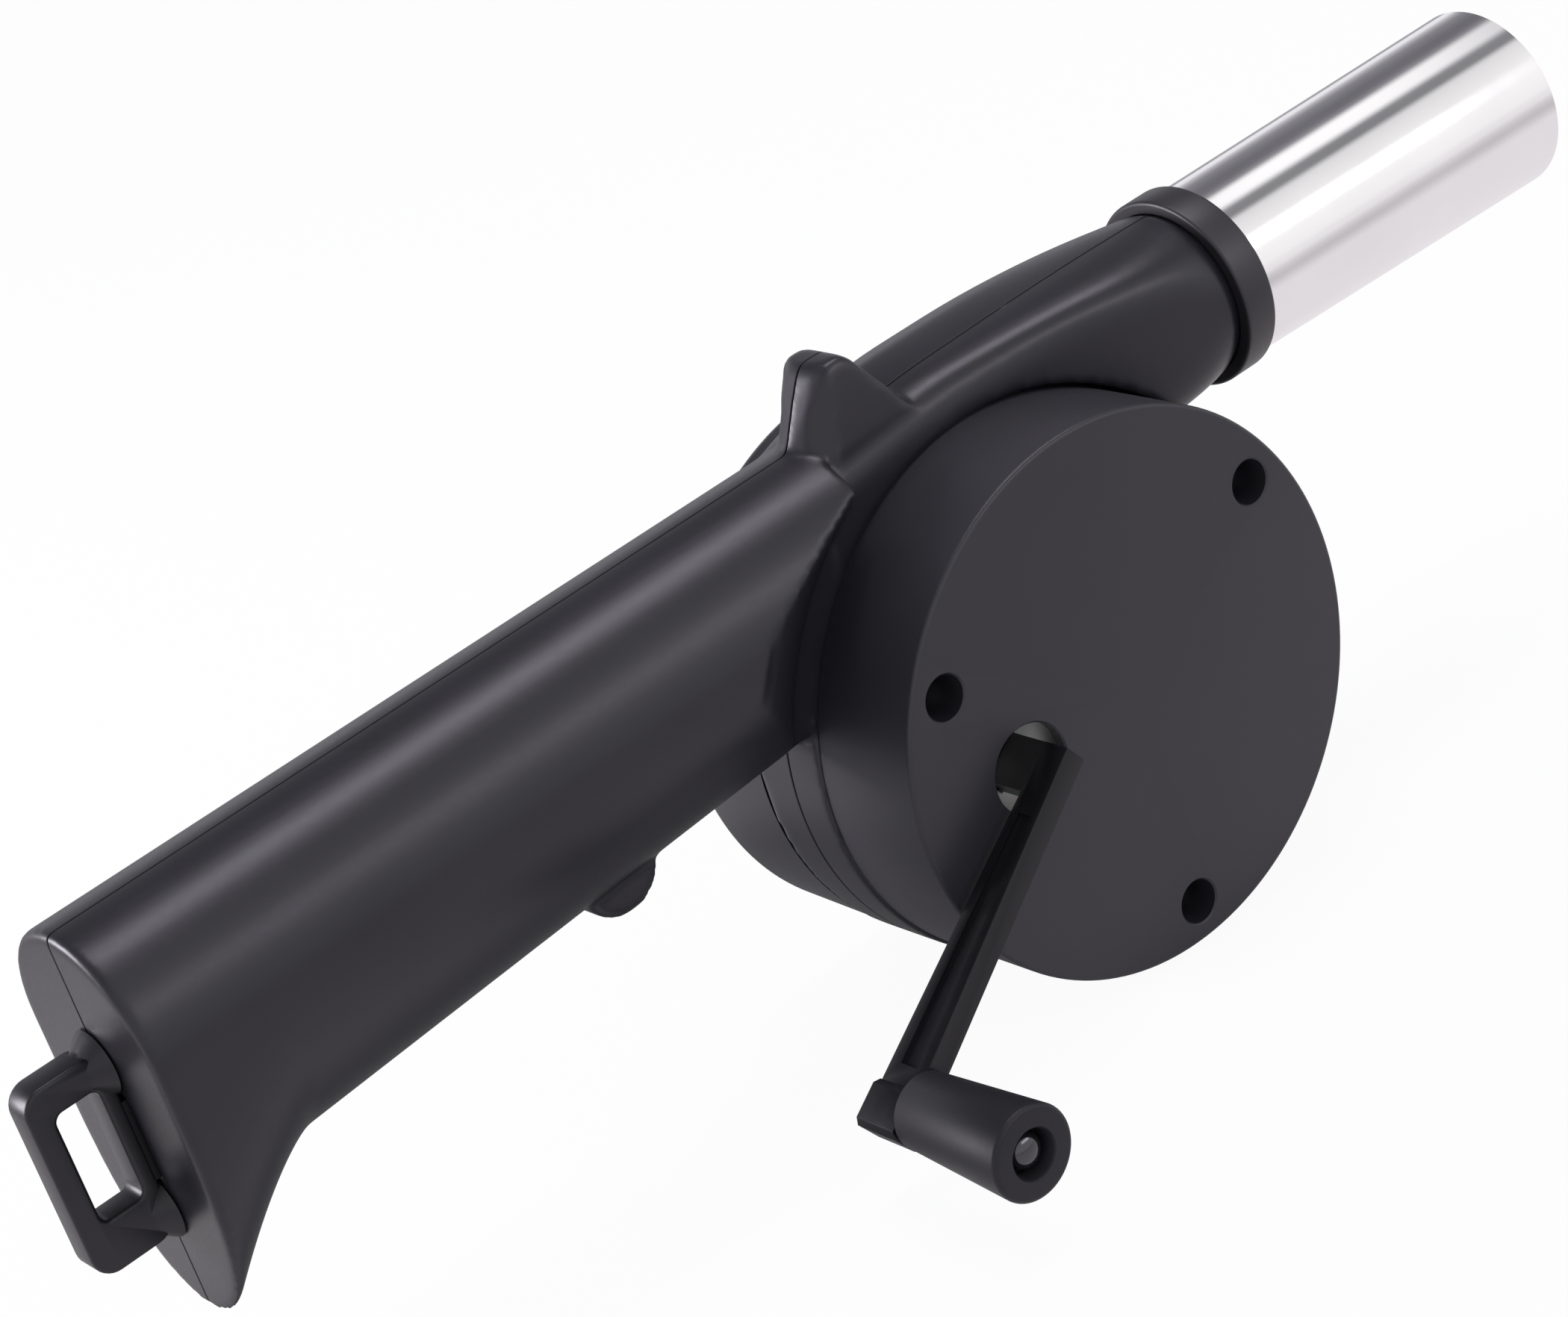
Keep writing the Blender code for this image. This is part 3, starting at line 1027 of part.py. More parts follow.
def fan(idler_turn):
    """Fan shaft with its pinion, impeller, nut and two bushes."""
    towards = math.atan2(-IDLER_Z, -IDLER_X)
    turn = mesh_phase(idler_turn, WHEEL_TEETH, towards, PINION_TEETH)
    frame = make_empty("fan_axis", SIDE_VIEW, (0.0, 0.0, 0.0), turn)
    low = GEAR_BAND + 0.3 * MM + BUSH_FLANGE + 2 * RUN_GAP
    high = IDLER_WHEEL_BACK + IDLER_WHEEL_THICK + 0.4 * MM
    outline = gear_outline(PINION_TEETH, PROFILE_SHIFT, FAN_SHAFT_RADIUS + SEAT_GAP)
    pinion = add_object("fan_pinion", plate_mesh("fan_pinion", outline, low, high), frame, WHITE_NYLON)
    smooth(pinion)

    shaft_high = COVER_INNER_Z - COVER_BOSS_HEIGHT + COVER_BOSS_BORE - SEAT_GAP
    shaft_low = INLET_INNER_Z + 0.2 * MM
    shaft = cylinder_mesh("fan_shaft", FAN_SHAFT_RADIUS, shaft_low, shaft_high, SMALL_STEPS)
    smooth(add_object("fan_shaft", shaft, frame, ZINC))

    disc_low = IMPELLER_BACK - IMPELLER_DISC
    tip_low = IMPELLER_BACK - IMPELLER_DEPTH
    disc = cylinder_mesh("impeller", IMPELLER_RADIUS, disc_low, IMPELLER_BACK, ROUND_STEPS)
    impeller = add_object("impeller", disc, frame, BLACK_PLASTIC)
    hub = cylinder_mesh("fan_hub", IMPELLER_HUB_RADIUS, tip_low - 0.8 * MM, IMPELLER_BACK - 0.3 * MM, 24)
    boolean(impeller, add_object("fan_hub", hub, frame), "UNION")
    blade = blade_outline()
    for i in range(BLADE_COUNT):
        mesh = plate_mesh("blade", [blade], tip_low, IMPELLER_BACK - 0.5 * MM)
        angle = 2 * math.pi * i / BLADE_COUNT
        boolean(impeller, add_object(f"blade_{i + 1}", mesh, frame, None, (0, 0, 0), (0, 0, angle)), "UNION")
    bore = cylinder_mesh("fan_bore", FAN_SHAFT_RADIUS + SEAT_GAP, tip_low - 3 * MM, IMPELLER_BACK + 2 * MM, SMALL_STEPS)
    boolean(impeller, add_object("fan_bore", bore, frame))
    smooth(impeller)

    nut_high = tip_low - 0.8 * MM - SEAT_GAP
    flats = circle_points(NUT_ACROSS / math.sqrt(3), 6)
    hole = circle_points(FAN_SHAFT_RADIUS + SEAT_GAP, SMALL_STEPS)
    nut = plate_mesh("impeller_nut", [flats, hole], nut_high - NUT_HEIGHT, nut_high)
    smooth(add_object("impeller_nut", nut, frame, ZINC))

    bore = FAN_SHAFT_RADIUS + RUN_GAP
    flange_low = GEAR_BAND + 0.3 * MM + SEAT_GAP
    flange_high = flange_low + BUSH_FLANGE
    bush = [
        (bore, flange_high),
        (BUSH_FLANGE_RADIUS, flange_high),
        (BUSH_FLANGE_RADIUS, flange_low),
        (BUSH_RADIUS, flange_low),
        (BUSH_RADIUS, flange_high - BUSH_LENGTH),
        (bore, flange_high - BUSH_LENGTH),
    ]
    mesh = turned_mesh("fan_bush", bush, 24, ring=True)
    smooth(add_object("gear_side_bush", mesh, SIDE_VIEW, BRONZE))
    seat_end = INLET_INNER_Z + BUSH_LENGTH - 1.4 * MM
    lift = seat_end + SEAT_GAP - flange_low
    smooth(add_object("inlet_side_bush", mesh.copy(), SIDE_VIEW, BRONZE, (0.0, 0.0, lift)))


def blade_outline():
    """A backward swept blade of even thickness, from the hub to the rim of the disc."""
    rim = IMPELLER_RADIUS - 0.6 * MM
    steps = 6
    spine = []
    for i in range(steps + 1):
        share = i / steps
        radius = BLADE_ROOT_RADIUS + (rim - BLADE_ROOT_RADIUS) * share
        angle = -BLADE_SWEEP * share**1.4
        spine.append(Vector((radius * math.cos(angle), radius * math.sin(angle))))
    left, right = [], []
    for i, point in enumerate(spine):
        before = spine[max(i - 1, 0)]
        after = spine[min(i + 1, steps)]
        along = (after - before).normalized()
        across = Vector((-along.y, along.x)) * BLADE_THICK / 2
        left.append(tuple(point + across))
        right.append(tuple(point - across))
    return right + left[::-1]


shells()
gear_cover()
inlet_cover()
cover_screws()
shell_screws()
outlet()
hanging_loop()
crank()
fan(idler())
bpy.context.view_layer.update()
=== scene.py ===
import math

import bmesh
import bpy
from mathutils import Matrix, Vector


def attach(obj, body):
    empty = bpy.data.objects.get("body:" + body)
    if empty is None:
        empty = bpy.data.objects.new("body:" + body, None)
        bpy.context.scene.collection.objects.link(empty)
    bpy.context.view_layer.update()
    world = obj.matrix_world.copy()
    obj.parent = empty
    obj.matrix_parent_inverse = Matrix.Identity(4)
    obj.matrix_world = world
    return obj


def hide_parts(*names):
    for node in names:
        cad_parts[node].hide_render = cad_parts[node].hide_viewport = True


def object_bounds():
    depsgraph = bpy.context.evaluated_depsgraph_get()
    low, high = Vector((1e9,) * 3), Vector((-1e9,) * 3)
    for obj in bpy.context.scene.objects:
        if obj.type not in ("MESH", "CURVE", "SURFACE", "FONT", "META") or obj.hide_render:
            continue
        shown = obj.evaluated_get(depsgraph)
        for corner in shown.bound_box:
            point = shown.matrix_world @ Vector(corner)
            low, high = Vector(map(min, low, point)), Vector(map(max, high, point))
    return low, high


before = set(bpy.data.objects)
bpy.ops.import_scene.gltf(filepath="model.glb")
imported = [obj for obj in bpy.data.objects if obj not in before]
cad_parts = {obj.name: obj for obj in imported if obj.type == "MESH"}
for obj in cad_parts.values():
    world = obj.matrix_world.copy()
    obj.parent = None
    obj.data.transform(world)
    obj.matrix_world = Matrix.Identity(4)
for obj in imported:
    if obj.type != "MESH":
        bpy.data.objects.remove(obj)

cad_low, cad_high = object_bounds()
MM = 0.001

# Camera. It stands behind the handle on the crank side, a little above it, and is rolled so that the
# blower points to the upper right, as in the photograph.
LENS = 91.25
SENSOR_WIDTH = 36.0
NEAREST_SEEN = 0.01
CAMERA_PLACE = (-0.29658, -0.39471, 0.25639)
CAMERA_RIGHT = (0.73105, -0.61593, -0.29359)
CAMERA_UP = (0.48972, 0.17403, 0.85434)
CAMERA_BACK = (-0.47512, -0.76834, 0.42886)


def put(name, data):
    """A new object in the scene that shows the data."""
    item = bpy.data.objects.new(name, data)
    bpy.context.scene.collection.objects.link(item)
    return item


def stand(item, place, axes):
    """Stands a camera or lamp at a place, with its own X, Y and Z along the axes given."""
    item.matrix_world = Matrix.Translation(place) @ Matrix(axes).transposed().to_4x4()


camera_data = bpy.data.cameras.new("photo_camera")
camera_data.lens = LENS
camera_data.sensor_width = SENSOR_WIDTH
camera_data.clip_start = NEAREST_SEEN
camera = put("photo_camera", camera_data)
stand(camera, CAMERA_PLACE, (CAMERA_RIGHT, CAMERA_UP, CAMERA_BACK))
bpy.context.scene.camera = camera
bpy.context.scene.view_settings.view_transform = "Standard"


# Floor and studio. A white paper sweep under the blower, and a room that is white to the camera. Shiny
# things mirror the room's panels: a bright strip overhead, a dark gap, a broad pale panel towards the
# crank side, and a dim wall behind.
WHITE = "#ffffff"
BLACK = "#000000"
FLOOR_GREY = "#e8e8ea"
ROOM_GREY = "#cfd0d4"
FLOOR_SIZE = 3.0
FLOOR_GAP = 0.3 * MM
FLOOR_WHITENESS = 0.94
FLOOR_SHINE = 0.85
FIBRES_PER_MM = 0.9
ROOM_GLOW = 0.75
WALL_GLOW = 1.25
PANEL_GLOW = 1.2
# What the walls show to shiny things, by degrees of turn about the blower's length: 0 is level towards
# the crank side, 90 is overhead and 180 is level behind
ROOM_BANDS = (
    (-180.0, "#ececf0"),
    (-20.0, "#e2e2e2"),
    (0.0, "#e8e8e8"),
    (18.0, "#ececec"),
    (30.0, "#e8e8e8"),
    (54.0, "#dcdcdc"),
    (64.5, "#d4d4d5"),
    (71.0, "#7a7a7c"),
    (80.0, "#7e7e81"),
    (92.0, "#adadb0"),
    (105.0, "#adadb0"),
    (113.0, "#848388"),
    (121.0, "#69686d"),
    (130.0, "#66656b"),
    (140.0, "#727177"),
    (150.0, "#7f7e84"),
    (160.0, "#a6a5aa"),
    (170.0, "#dcdce0"),
)
# Overhead and well towards the outlet, where only the tube mirrors it, a panel is brighter than the walls:
# by degrees of turn, and by how far the way there runs along X
PANEL_TURN = (
    (-180.0, BLACK),
    (82.0, BLACK),
    (90.0, WHITE),
    (105.0, WHITE),
    (113.0, BLACK),
    (180.0, BLACK),
)
PANEL_REACH = (
    (0.0, BLACK),
    (0.588, BLACK),
    (0.604, WHITE),
    (0.652, WHITE),
    (0.668, BLACK),
    (1.0, BLACK),
)
# What the floor shows to shiny things, by metres towards the far side, with a painted shadow: a soft dark
# patch by the handle, where the blower's own shadow would lie on the floor
FLOOR_BANDS = (
    (-1.40, "#f6f6f6"),
    (-0.44, "#eae9ea"),
    (-0.30, "#d2cfd1"),
    (-0.17, "#bab6b8"),
    (-0.13, "#c8c4c6"),
    (-0.09, "#e2dee0"),
    (0.17, "#dedadc"),
    (0.26, "#97959a"),
    (1.60, "#97959a"),
)
SHADE_CENTRE = (-50.0 * MM, 45.0 * MM)
SHADE_SIZE = (150.0 * MM, 58.0 * MM)
SHADE_EDGE = (0.6, 1.1)
SHADE_GLOW = (0.25, 1.15)


def linear(text):
    """The linear colour of an sRGB hex value."""
    parts = [int(text[i : i + 2], 16) / 255 for i in (1, 3, 5)]
    return (*[c / 12.92 if c <= 0.04045 else ((c + 0.055) / 1.055) ** 2.4 for c in parts], 1.0)


def set_inputs(tree, node, inputs):
    """Gives each named input a value, or a link from another node's socket."""
    for key, value in inputs.items():
        if isinstance(value, bpy.types.NodeSocket):
            tree.links.new(value, node.inputs[key])
        else:
            node.inputs[key].default_value = value


def add_node(tree, kind, inputs=None, **settings):
    """A new node with its own settings and its inputs set."""
    made = tree.nodes.new(kind)
    for key, value in settings.items():
        setattr(made, key, value)
    set_inputs(tree, made, inputs or {})
    return made


def fill_ramp(ramp, rows):
    """Sets a colour ramp from rows of (place, colour), with the first and last rows at its ends."""
    low, high = rows[0][0], rows[-1][0]
    ramp.elements[0].color = linear(rows[0][1])
    ramp.elements[1].position = 1.0
    ramp.elements[1].color = linear(rows[-1][1])
    for place, colour in rows[1:-1]:
        ramp.elements.new((place - low) / (high - low)).color = linear(colour)


bm = bmesh.new()
bmesh.ops.create_grid(bm, x_segments=1, y_segments=1, size=FLOOR_SIZE)
bmesh.ops.translate(bm, verts=bm.verts, vec=(0.0, 0.0, cad_low.z - FLOOR_GAP))
floor_data = bpy.data.meshes.new("studio_floor")
bm.to_mesh(floor_data)
bm.free()
floor = put("studio_floor", floor_data)

paper = bpy.data.materials.new("white_paper_sweep")
paper.use_nodes = True
tree = paper.node_tree
tree.nodes.clear()
path = add_node(tree, "ShaderNodeLightPath")
here = add_node(tree, "ShaderNodeTexCoord").outputs["Object"]
# Uncoated paper is evenly matt; its felt is drawn at 1.1 mm, so that it shows
fibre = add_node(tree, "ShaderNodeTexNoise", {"Vector": here, "Scale": FIBRES_PER_MM / MM, "Detail": 2.0})
felt = add_node(
    tree, "ShaderNodeBump", {"Height": fibre.outputs["Fac"], "Strength": 0.1, "Distance": 0.05 * MM}
)
sheet = add_node(tree, "ShaderNodeBsdfDiffuse", {"Color": linear(FLOOR_GREY), "Normal": felt.outputs[0]})
glow = add_node(tree, "ShaderNodeEmission", {"Color": linear(WHITE), "Strength": 1.0})
split = add_node(tree, "ShaderNodeSeparateXYZ", {0: here})
reach = add_node(
    tree,
    "ShaderNodeMapRange",
    {"Value": split.outputs["Y"], "From Min": FLOOR_BANDS[0][0], "From Max": FLOOR_BANDS[-1][0]},
)
stripes = add_node(tree, "ShaderNodeValToRGB", {0: reach.outputs[0]})
fill_ramp(stripes.color_ramp, FLOOR_BANDS)
# Painted shadow: what the floor shows to shiny things is darkened in a soft patch by the handle
moved = add_node(tree, "ShaderNodeVectorMath", {0: here, 1: (*SHADE_CENTRE, 0.0)}, operation="SUBTRACT")
sized = add_node(
    tree,
    "ShaderNodeVectorMath",
    {0: moved.outputs[0], 1: (1 / SHADE_SIZE[0], 1 / SHADE_SIZE[1], 0.0)},
    operation="MULTIPLY",
)
away = add_node(tree, "ShaderNodeVectorMath", {0: sized.outputs[0]}, operation="LENGTH")
shade = add_node(
    tree,
    "ShaderNodeMapRange",
    {
        "Value": away.outputs["Value"],
        "From Min": SHADE_EDGE[0],
        "From Max": SHADE_EDGE[1],
        "To Min": SHADE_GLOW[0],
        "To Max": SHADE_GLOW[1],
    },
    interpolation_type="SMOOTHSTEP",
)
mirrored = add_node(tree, "ShaderNodeEmission", {"Color": stripes.outputs[0], "Strength": shade.outputs[0]})
seen = sheet
for ray, most, other in (("Is Glossy Ray", FLOOR_SHINE, mirrored), ("Is Camera Ray", FLOOR_WHITENESS, glow)):
    share = add_node(tree, "ShaderNodeMath", {0: path.outputs[ray], 1: most}, operation="MULTIPLY")
    ends = {1: seen.outputs[0], 2: other.outputs[0]}
    seen = add_node(tree, "ShaderNodeMixShader", {0: share.outputs[0], **ends})
add_node(tree, "ShaderNodeOutputMaterial", {"Surface": seen.outputs[0]})
floor_data.materials.append(paper)

world = bpy.data.worlds.new("studio_room")
bpy.context.scene.world = world
world.use_nodes = True
tree = world.node_tree
tree.nodes.clear()
path = add_node(tree, "ShaderNodeLightPath")
way = add_node(tree, "ShaderNodeTexCoord").outputs["Generated"]
split = add_node(tree, "ShaderNodeSeparateXYZ", {0: way})
nearer = add_node(tree, "ShaderNodeMath", {0: split.outputs["Y"], 1: -1.0}, operation="MULTIPLY")
turn = add_node(tree, "ShaderNodeMath", {0: split.outputs["Z"], 1: nearer.outputs[0]}, operation="ARCTAN2")
ramps = []
for rows in (ROOM_BANDS, PANEL_TURN):
    ends = {"From Min": math.radians(rows[0][0]), "From Max": math.radians(rows[-1][0])}
    share = add_node(tree, "ShaderNodeMapRange", {"Value": turn.outputs[0], **ends})
    ramps.append(add_node(tree, "ShaderNodeValToRGB", {0: share.outputs[0]}))
    fill_ramp(ramps[-1].color_ramp, rows)
bands, across = ramps
ahead = add_node(tree, "ShaderNodeValToRGB", {0: split.outputs["X"]})
fill_ramp(ahead.color_ramp, PANEL_REACH)
panel = add_node(tree, "ShaderNodeMath", {0: across.outputs[0], 1: ahead.outputs[0]}, operation="MULTIPLY")
walls = add_node(tree, "ShaderNodeBackground", {"Color": bands.outputs[0], "Strength": WALL_GLOW})
bright = add_node(tree, "ShaderNodeBackground", {"Color": linear(WHITE), "Strength": PANEL_GLOW})
room = add_node(tree, "ShaderNodeBackground", {"Color": linear(ROOM_GREY), "Strength": ROOM_GLOW})
white = add_node(tree, "ShaderNodeBackground", {"Color": linear(WHITE), "Strength": 1.0})
ends = {1: walls.outputs[0], 2: bright.outputs[0]}
mirror = add_node(tree, "ShaderNodeMixShader", {0: panel.outputs[0], **ends})
seen = room
for ray, other in (("Is Glossy Ray", mirror), ("Is Camera Ray", white)):
    ends = {1: seen.outputs[0], 2: other.outputs[0]}
    seen = add_node(tree, "ShaderNodeMixShader", {0: path.outputs[ray], **ends})
add_node(tree, "ShaderNodeOutputWorld", {"Surface": seen.outputs[0]})


# Lamps. Soft rectangular lamps of a faintly violet white: an overhead strip, a panel on the crank side, and
# a low lamp behind that lights the handle's end. Each row has its name, its place, the point it is aimed
# at and its size along and across the blower, in metres, and its watts.
LAMP_COLOUR = (0.97, 0.95, 1.0)
LAMPS = (
    ("overhead_strip", (0.20, 0.06, 0.84), (-0.05, 0.027, 0.03), (0.62, 0.18), 2.9),
    ("key_panel", (0.28, -0.62, 0.42), (-0.04, 0.0, 0.02), (0.66, 0.16), 1.1),
    ("end_lamp", (-0.72, 0.62, 0.26), (-0.15, 0.027, 0.02), (0.30, 0.40), 8.0),
)

for name, place, aim, size, watts in LAMPS:
    lamp_data = bpy.data.lights.new(name, "AREA")
    lamp_data.shape = "RECTANGLE"
    lamp_data.size, lamp_data.size_y = size
    lamp_data.energy = watts
    lamp_data.color = LAMP_COLOUR
    back = (Vector(place) - Vector(aim)).normalized()
    right = (Vector((1.0, 0.0, 0.0)) - back * back.x).normalized()
    stand(put(name, lamp_data), place, (right, back.cross(right), back))


# Body shells. Two halves of the handle, the hump, the neck and the drum's band, injection moulded in
# satin black ABS, closed on each other at the parting plane by three screws. The walls are about 2 mm.
PARTING_Y = 26.6 * MM
PARTING_GAP = 0.3 * MM
PARTING_CHAMFER = 0.1 * MM
END_X = -149.2 * MM
POMMEL_X = -130.0 * MM
HANDLE_FRONT_X = -23.2 * MM
HANDLE_TOP_Z = (46.4 * MM, 47.6 * MM)
HANDLE_LOW_Z = (4.9 * MM, 12.2 * MM)
HANDLE_MIDDLE_Z = 30.0 * MM
HANDLE_HALF_WIDTH = 16.4 * MM
HANDLE_RIM = 1.0 * MM
HANDLE_WALL = 2.2 * MM
POMMEL_DROP = 14.9 * MM
POMMEL_POWER = 1.5
HEEL_SQUARENESS = (2.0, 4.0)
CAVITY_X = (-146.6 * MM, -46.0 * MM)
SHOULDER_RADIUS = 46.0 * MM
SHOULDER_ROUND = 14.0 * MM
SHOULDER_DEGREES = (20.7, 84.0)
SHOULDERS = (("gear_shoulder", -1, 7.0 * MM), ("fan_shoulder", 1, 7.5 * MM))
SHOULDER_REACH = 120.0 * MM
DRUM_RADIUS = 41.5 * MM
BAND_SPARE = 0.6 * MM
GEAR_ROOM_Y = 19.6 * MM
FAN_ROOM_Y = 34.1 * MM
PARTITION_Y = 21.6 * MM
CHAMBER_RADIUS = 39.0 * MM
OUTSIDE_Y = (-120.0 * MM, 160.0 * MM)
TUBE_Z = 35.5 * MM
# Neck, in mm: place along X, rise over the tube's line, near and far half width, and squareness
NECK_ROWS = (
    (-27.0, 10.0, 7.4, 8.0, 6.0),
    (-12.0, 12.0, 7.4, 13.4, 6.0),
    (-2.0, 12.9, 7.5, 16.2, 6.0),
    (8.0, 13.2, 8.2, 16.2, 7.0),
    (20.0, 13.5, 9.8, 15.6, 7.6),
    (32.0, 13.6, 12.1, 14.6, 6.0),
    (46.8, 13.4, 13.4, 13.4, 2.0),
)
NECK_DROP = 13.4 * MM
NECK_LEAN = 2.0 * MM
NECK_LEAN_WIDTH = 8.0 * MM
# Hump, in mm: height, its nose's, corners' and front's places along X, and half width
HUMP_ROWS = (
    (40.0, -27.6, -22.6, -1.5, 6.4),
    (46.5, -26.0, -21.2, -6.3, 6.3),
    (53.2, -22.0, -19.2, -10.7, 5.5),
    (56.8, -19.6, -17.9, -13.0, 5.0),
    (58.0, -18.4, -17.0, -14.4, 4.3),
)
HUMP_NIP = 0.6
HUMP_FRONT_SHARE = 0.7
HUMP_NOSE_SHARE = 0.55
# Duct, in mm: place along X, top, bottom, middle height and half width
DUCT_ROWS = (
    (2.0, 46.0, 33.0, 40.0, 4.4),
    (26.0, 46.2, 30.5, 38.0, 4.4),
    (38.0, 46.5, 24.5, 35.5, 11.0),
    (63.8, 46.5, 24.5, 35.5, 11.0),
)
SPIGOT_RADIUS = 12.9 * MM
SPIGOT_X = (45.4 * MM, 61.8 * MM)
LUG = (-75.0 * MM, 11.4 * MM)
LUG_RADIUS = 6.4 * MM
LUG_HALF = 6.0 * MM
LUG_POST_RADIUS = 4.6 * MM
LUG_POST_HALF = 5.5 * MM
REAR_POST = (-137.0 * MM, 22.0 * MM)
REAR_POST_RADIUS = 5.0 * MM
REAR_POST_HALF = 14.3 * MM
# Shell screws: name, place in the side view, seat across the blower, and length
SHELL_SCREWS = (
    ("hump", -15.6 * MM, 50.6 * MM, 29.9 * MM, 7.4 * MM),
    ("lug", *LUG, 30.3 * MM, 7.8 * MM),
    ("rear", *REAR_POST, 34.8 * MM, 12.3 * MM),
)
SEAT_GAP = 0.3 * MM
WELL_RADIUS = 3.3 * MM
WELL_END_Y = 60.0 * MM
WELL_CIRCLE = 35.0 * MM
WELL_DEGREES = (30.6, 150.6, 270.6)
# Round posts and holes of the drum: radius, and where they start and stop across the blower
GEAR_POST = (3.4 * MM, 12.6 * MM, 20.6 * MM)
FAN_BOSS = (4.8 * MM, 26.6 * MM, 33.6 * MM)
BUSH_HOLE = (3.7 * MM, 16.6 * MM, 26.6 * MM)
LOOP_SLOT_X = (-151.2 * MM, -144.6 * MM)
LOOP_SLOT_Z = (10.2 * MM, 22.8 * MM)
LOOP_SLOT_HALF = 2.8 * MM
RING_STEPS = 72
DRUM_STEPS = 144
SECTION_STEPS = 24
END_STEPS = 16
# The shells' skin is made of even faces of this size, and smoothed this many times
SKIN_GRAIN = 0.55 * MM
SKIN_ROUNDS = 4
CLOSE = 0.001 * MM

along_x = (1.0, 0.0, 0.0)
along_y = (0.0, 1.0, 0.0)
drum_centre = (0.0, 0.0, 0.0)
tube_line = (0.0, PARTING_Y, TUBE_Z)
wells = []
for degrees in WELL_DEGREES:
    turn = math.radians(degrees)
    wells.append((WELL_CIRCLE * math.cos(turn), WELL_CIRCLE * math.sin(turn)))


def part_way(ends, share):
    """The value at a share of the way from one end to the other."""
    return ends[0] + (ends[1] - ends[0]) * share


def both_sides(half):
    """From where to where a piece of that half width goes, across the parting plane."""
    return PARTING_Y - half, PARTING_Y + half


def solid(name, bm):
    """A mesh object from a bmesh, with its doubles merged and its faces pointing out."""
    bmesh.ops.remove_doubles(bm, verts=bm.verts, dist=CLOSE)
    bmesh.ops.recalc_face_normals(bm, faces=bm.faces)
    data = bpy.data.meshes.new(name)
    bm.to_mesh(data)
    bm.free()
    return put(name, data)


def ring(bm, x, top, bottom, middle, near, far, squareness=2.0, heel=None):
    """One upright section of a moulding: a circle brought to its sizes, flatter where it is square."""
    made = bmesh.ops.create_circle(bm, segments=RING_STEPS, radius=1.0)
    for vert in made["verts"]:
        across, up = vert.co.x, vert.co.y
        square = squareness if up > 0 or heel is None else heel
        lift = math.copysign(abs(up) ** (2 / square), up)
        reach = top - middle if up > 0 else middle - bottom
        width = near if across > 0 else far
        vert.co = (x, PARTING_Y - across * width, middle + lift * reach)
    return list({edge for vert in made["verts"] for edge in vert.link_edges})


def skin(bm, rings):
    """Bridges a row of sections and closes both ends."""
    for first, second in zip(rings, rings[1:]):
        bmesh.ops.bridge_loops(bm, edges=first + second)
    for end in (rings[0], rings[-1]):
        bmesh.ops.edgeloop_fill(bm, edges=end)


def arc(centre, radius, start, stop, count=6):
    """Outline points of a round stretch, in degrees."""
    made = []
    for i in range(count + 1):
        turn = math.radians(part_way((start, stop), i / count))
        made.append((centre[0] + radius * math.cos(turn), centre[1] + radius * math.sin(turn)))
    return made


def turned(name, outline, centre, axis, steps, closed=False):
    """Spins an outline of (radius, place along the axis) points round an axis through centre."""
    bm = bmesh.new()
    up = Vector((0.0, 0.0, 1.0))
    verts = [bm.verts.new(Vector(centre) + up * radius + Vector(axis) * place) for radius, place in outline]
    edges = [bm.edges.new(pair) for pair in zip(verts, verts[1:])]
    if closed:
        edges.append(bm.edges.new((verts[-1], verts[0])))
    bmesh.ops.spin(
        bm, geom=verts + edges, cent=centre, axis=axis, angle=2 * math.pi, steps=steps, use_merge=True
    )
    return solid(name, bm)


def bar(name, radius, low, high, x, z, steps=48):
    """A round bar across the blower, from the crank side to the far side, at a place in the side view."""
    outline = [(0.0, low), (radius, low), (radius, high), (0.0, high)]
    return turned(name, outline, (x, 0.0, z), along_y, steps)


def block(bm, low, high):
    """A square-edged block between two corners, in a bmesh."""
    verts = bmesh.ops.create_cube(bm, size=1.0)["verts"]
    bmesh.ops.scale(bm, verts=verts, vec=Vector(high) - Vector(low))
    bmesh.ops.translate(bm, verts=verts, vec=(Vector(high) + Vector(low)) / 2)
    return verts


def brick(name, x, y, z):
    """A square-edged block as a solid, from its ends along each axis."""
    bm = bmesh.new()
    block(bm, (x[0], y[0], z[0]), (x[1], y[1], z[1]))
    return solid(name, bm)


def settle(item):
    """Makes the modifiers' result the object's own mesh."""
    bpy.context.view_layer.update()
    graph = bpy.context.evaluated_depsgraph_get()
    made = bpy.data.meshes.new_from_object(item.evaluated_get(graph))
    item.modifiers.clear()
    item.data = made


def combine(item, tools):
    """Cuts or joins solids in turn, (operation, solid), and leaves one plain mesh."""
    for operation, tool in tools:
        step = item.modifiers.new(tool.name, "BOOLEAN")
        step.operation = operation
        step.solver = "EXACT"
        step.object = tool
    settle(item)
    for _, tool in tools:
        bpy.data.objects.remove(tool, do_unlink=True)


def between(rows, x):
    """The row of sizes at x, on a smooth curve through the rows."""
    i = max(j for j in range(len(rows) - 1) if rows[j][0] <= x + CLOSE)
    before, first = rows[max(i - 1, 0)], rows[i]
    second, after = rows[i + 1], rows[min(i + 2, len(rows) - 1)]
    span = second[0] - first[0]
    share = (x - first[0]) / span
    made = []
    for k in range(1, len(first)):
        start = (second[k] - before[k]) / (second[0] - before[0]) * span
        stop = (after[k] - first[k]) / (after[0] - first[0]) * span
        a = 2 * first[k] - 2 * second[k] + start + stop
        b = 3 * second[k] - 3 * first[k] - 2 * start - stop
        made.append(((a * share + b) * share + start) * share + first[k])
    return made


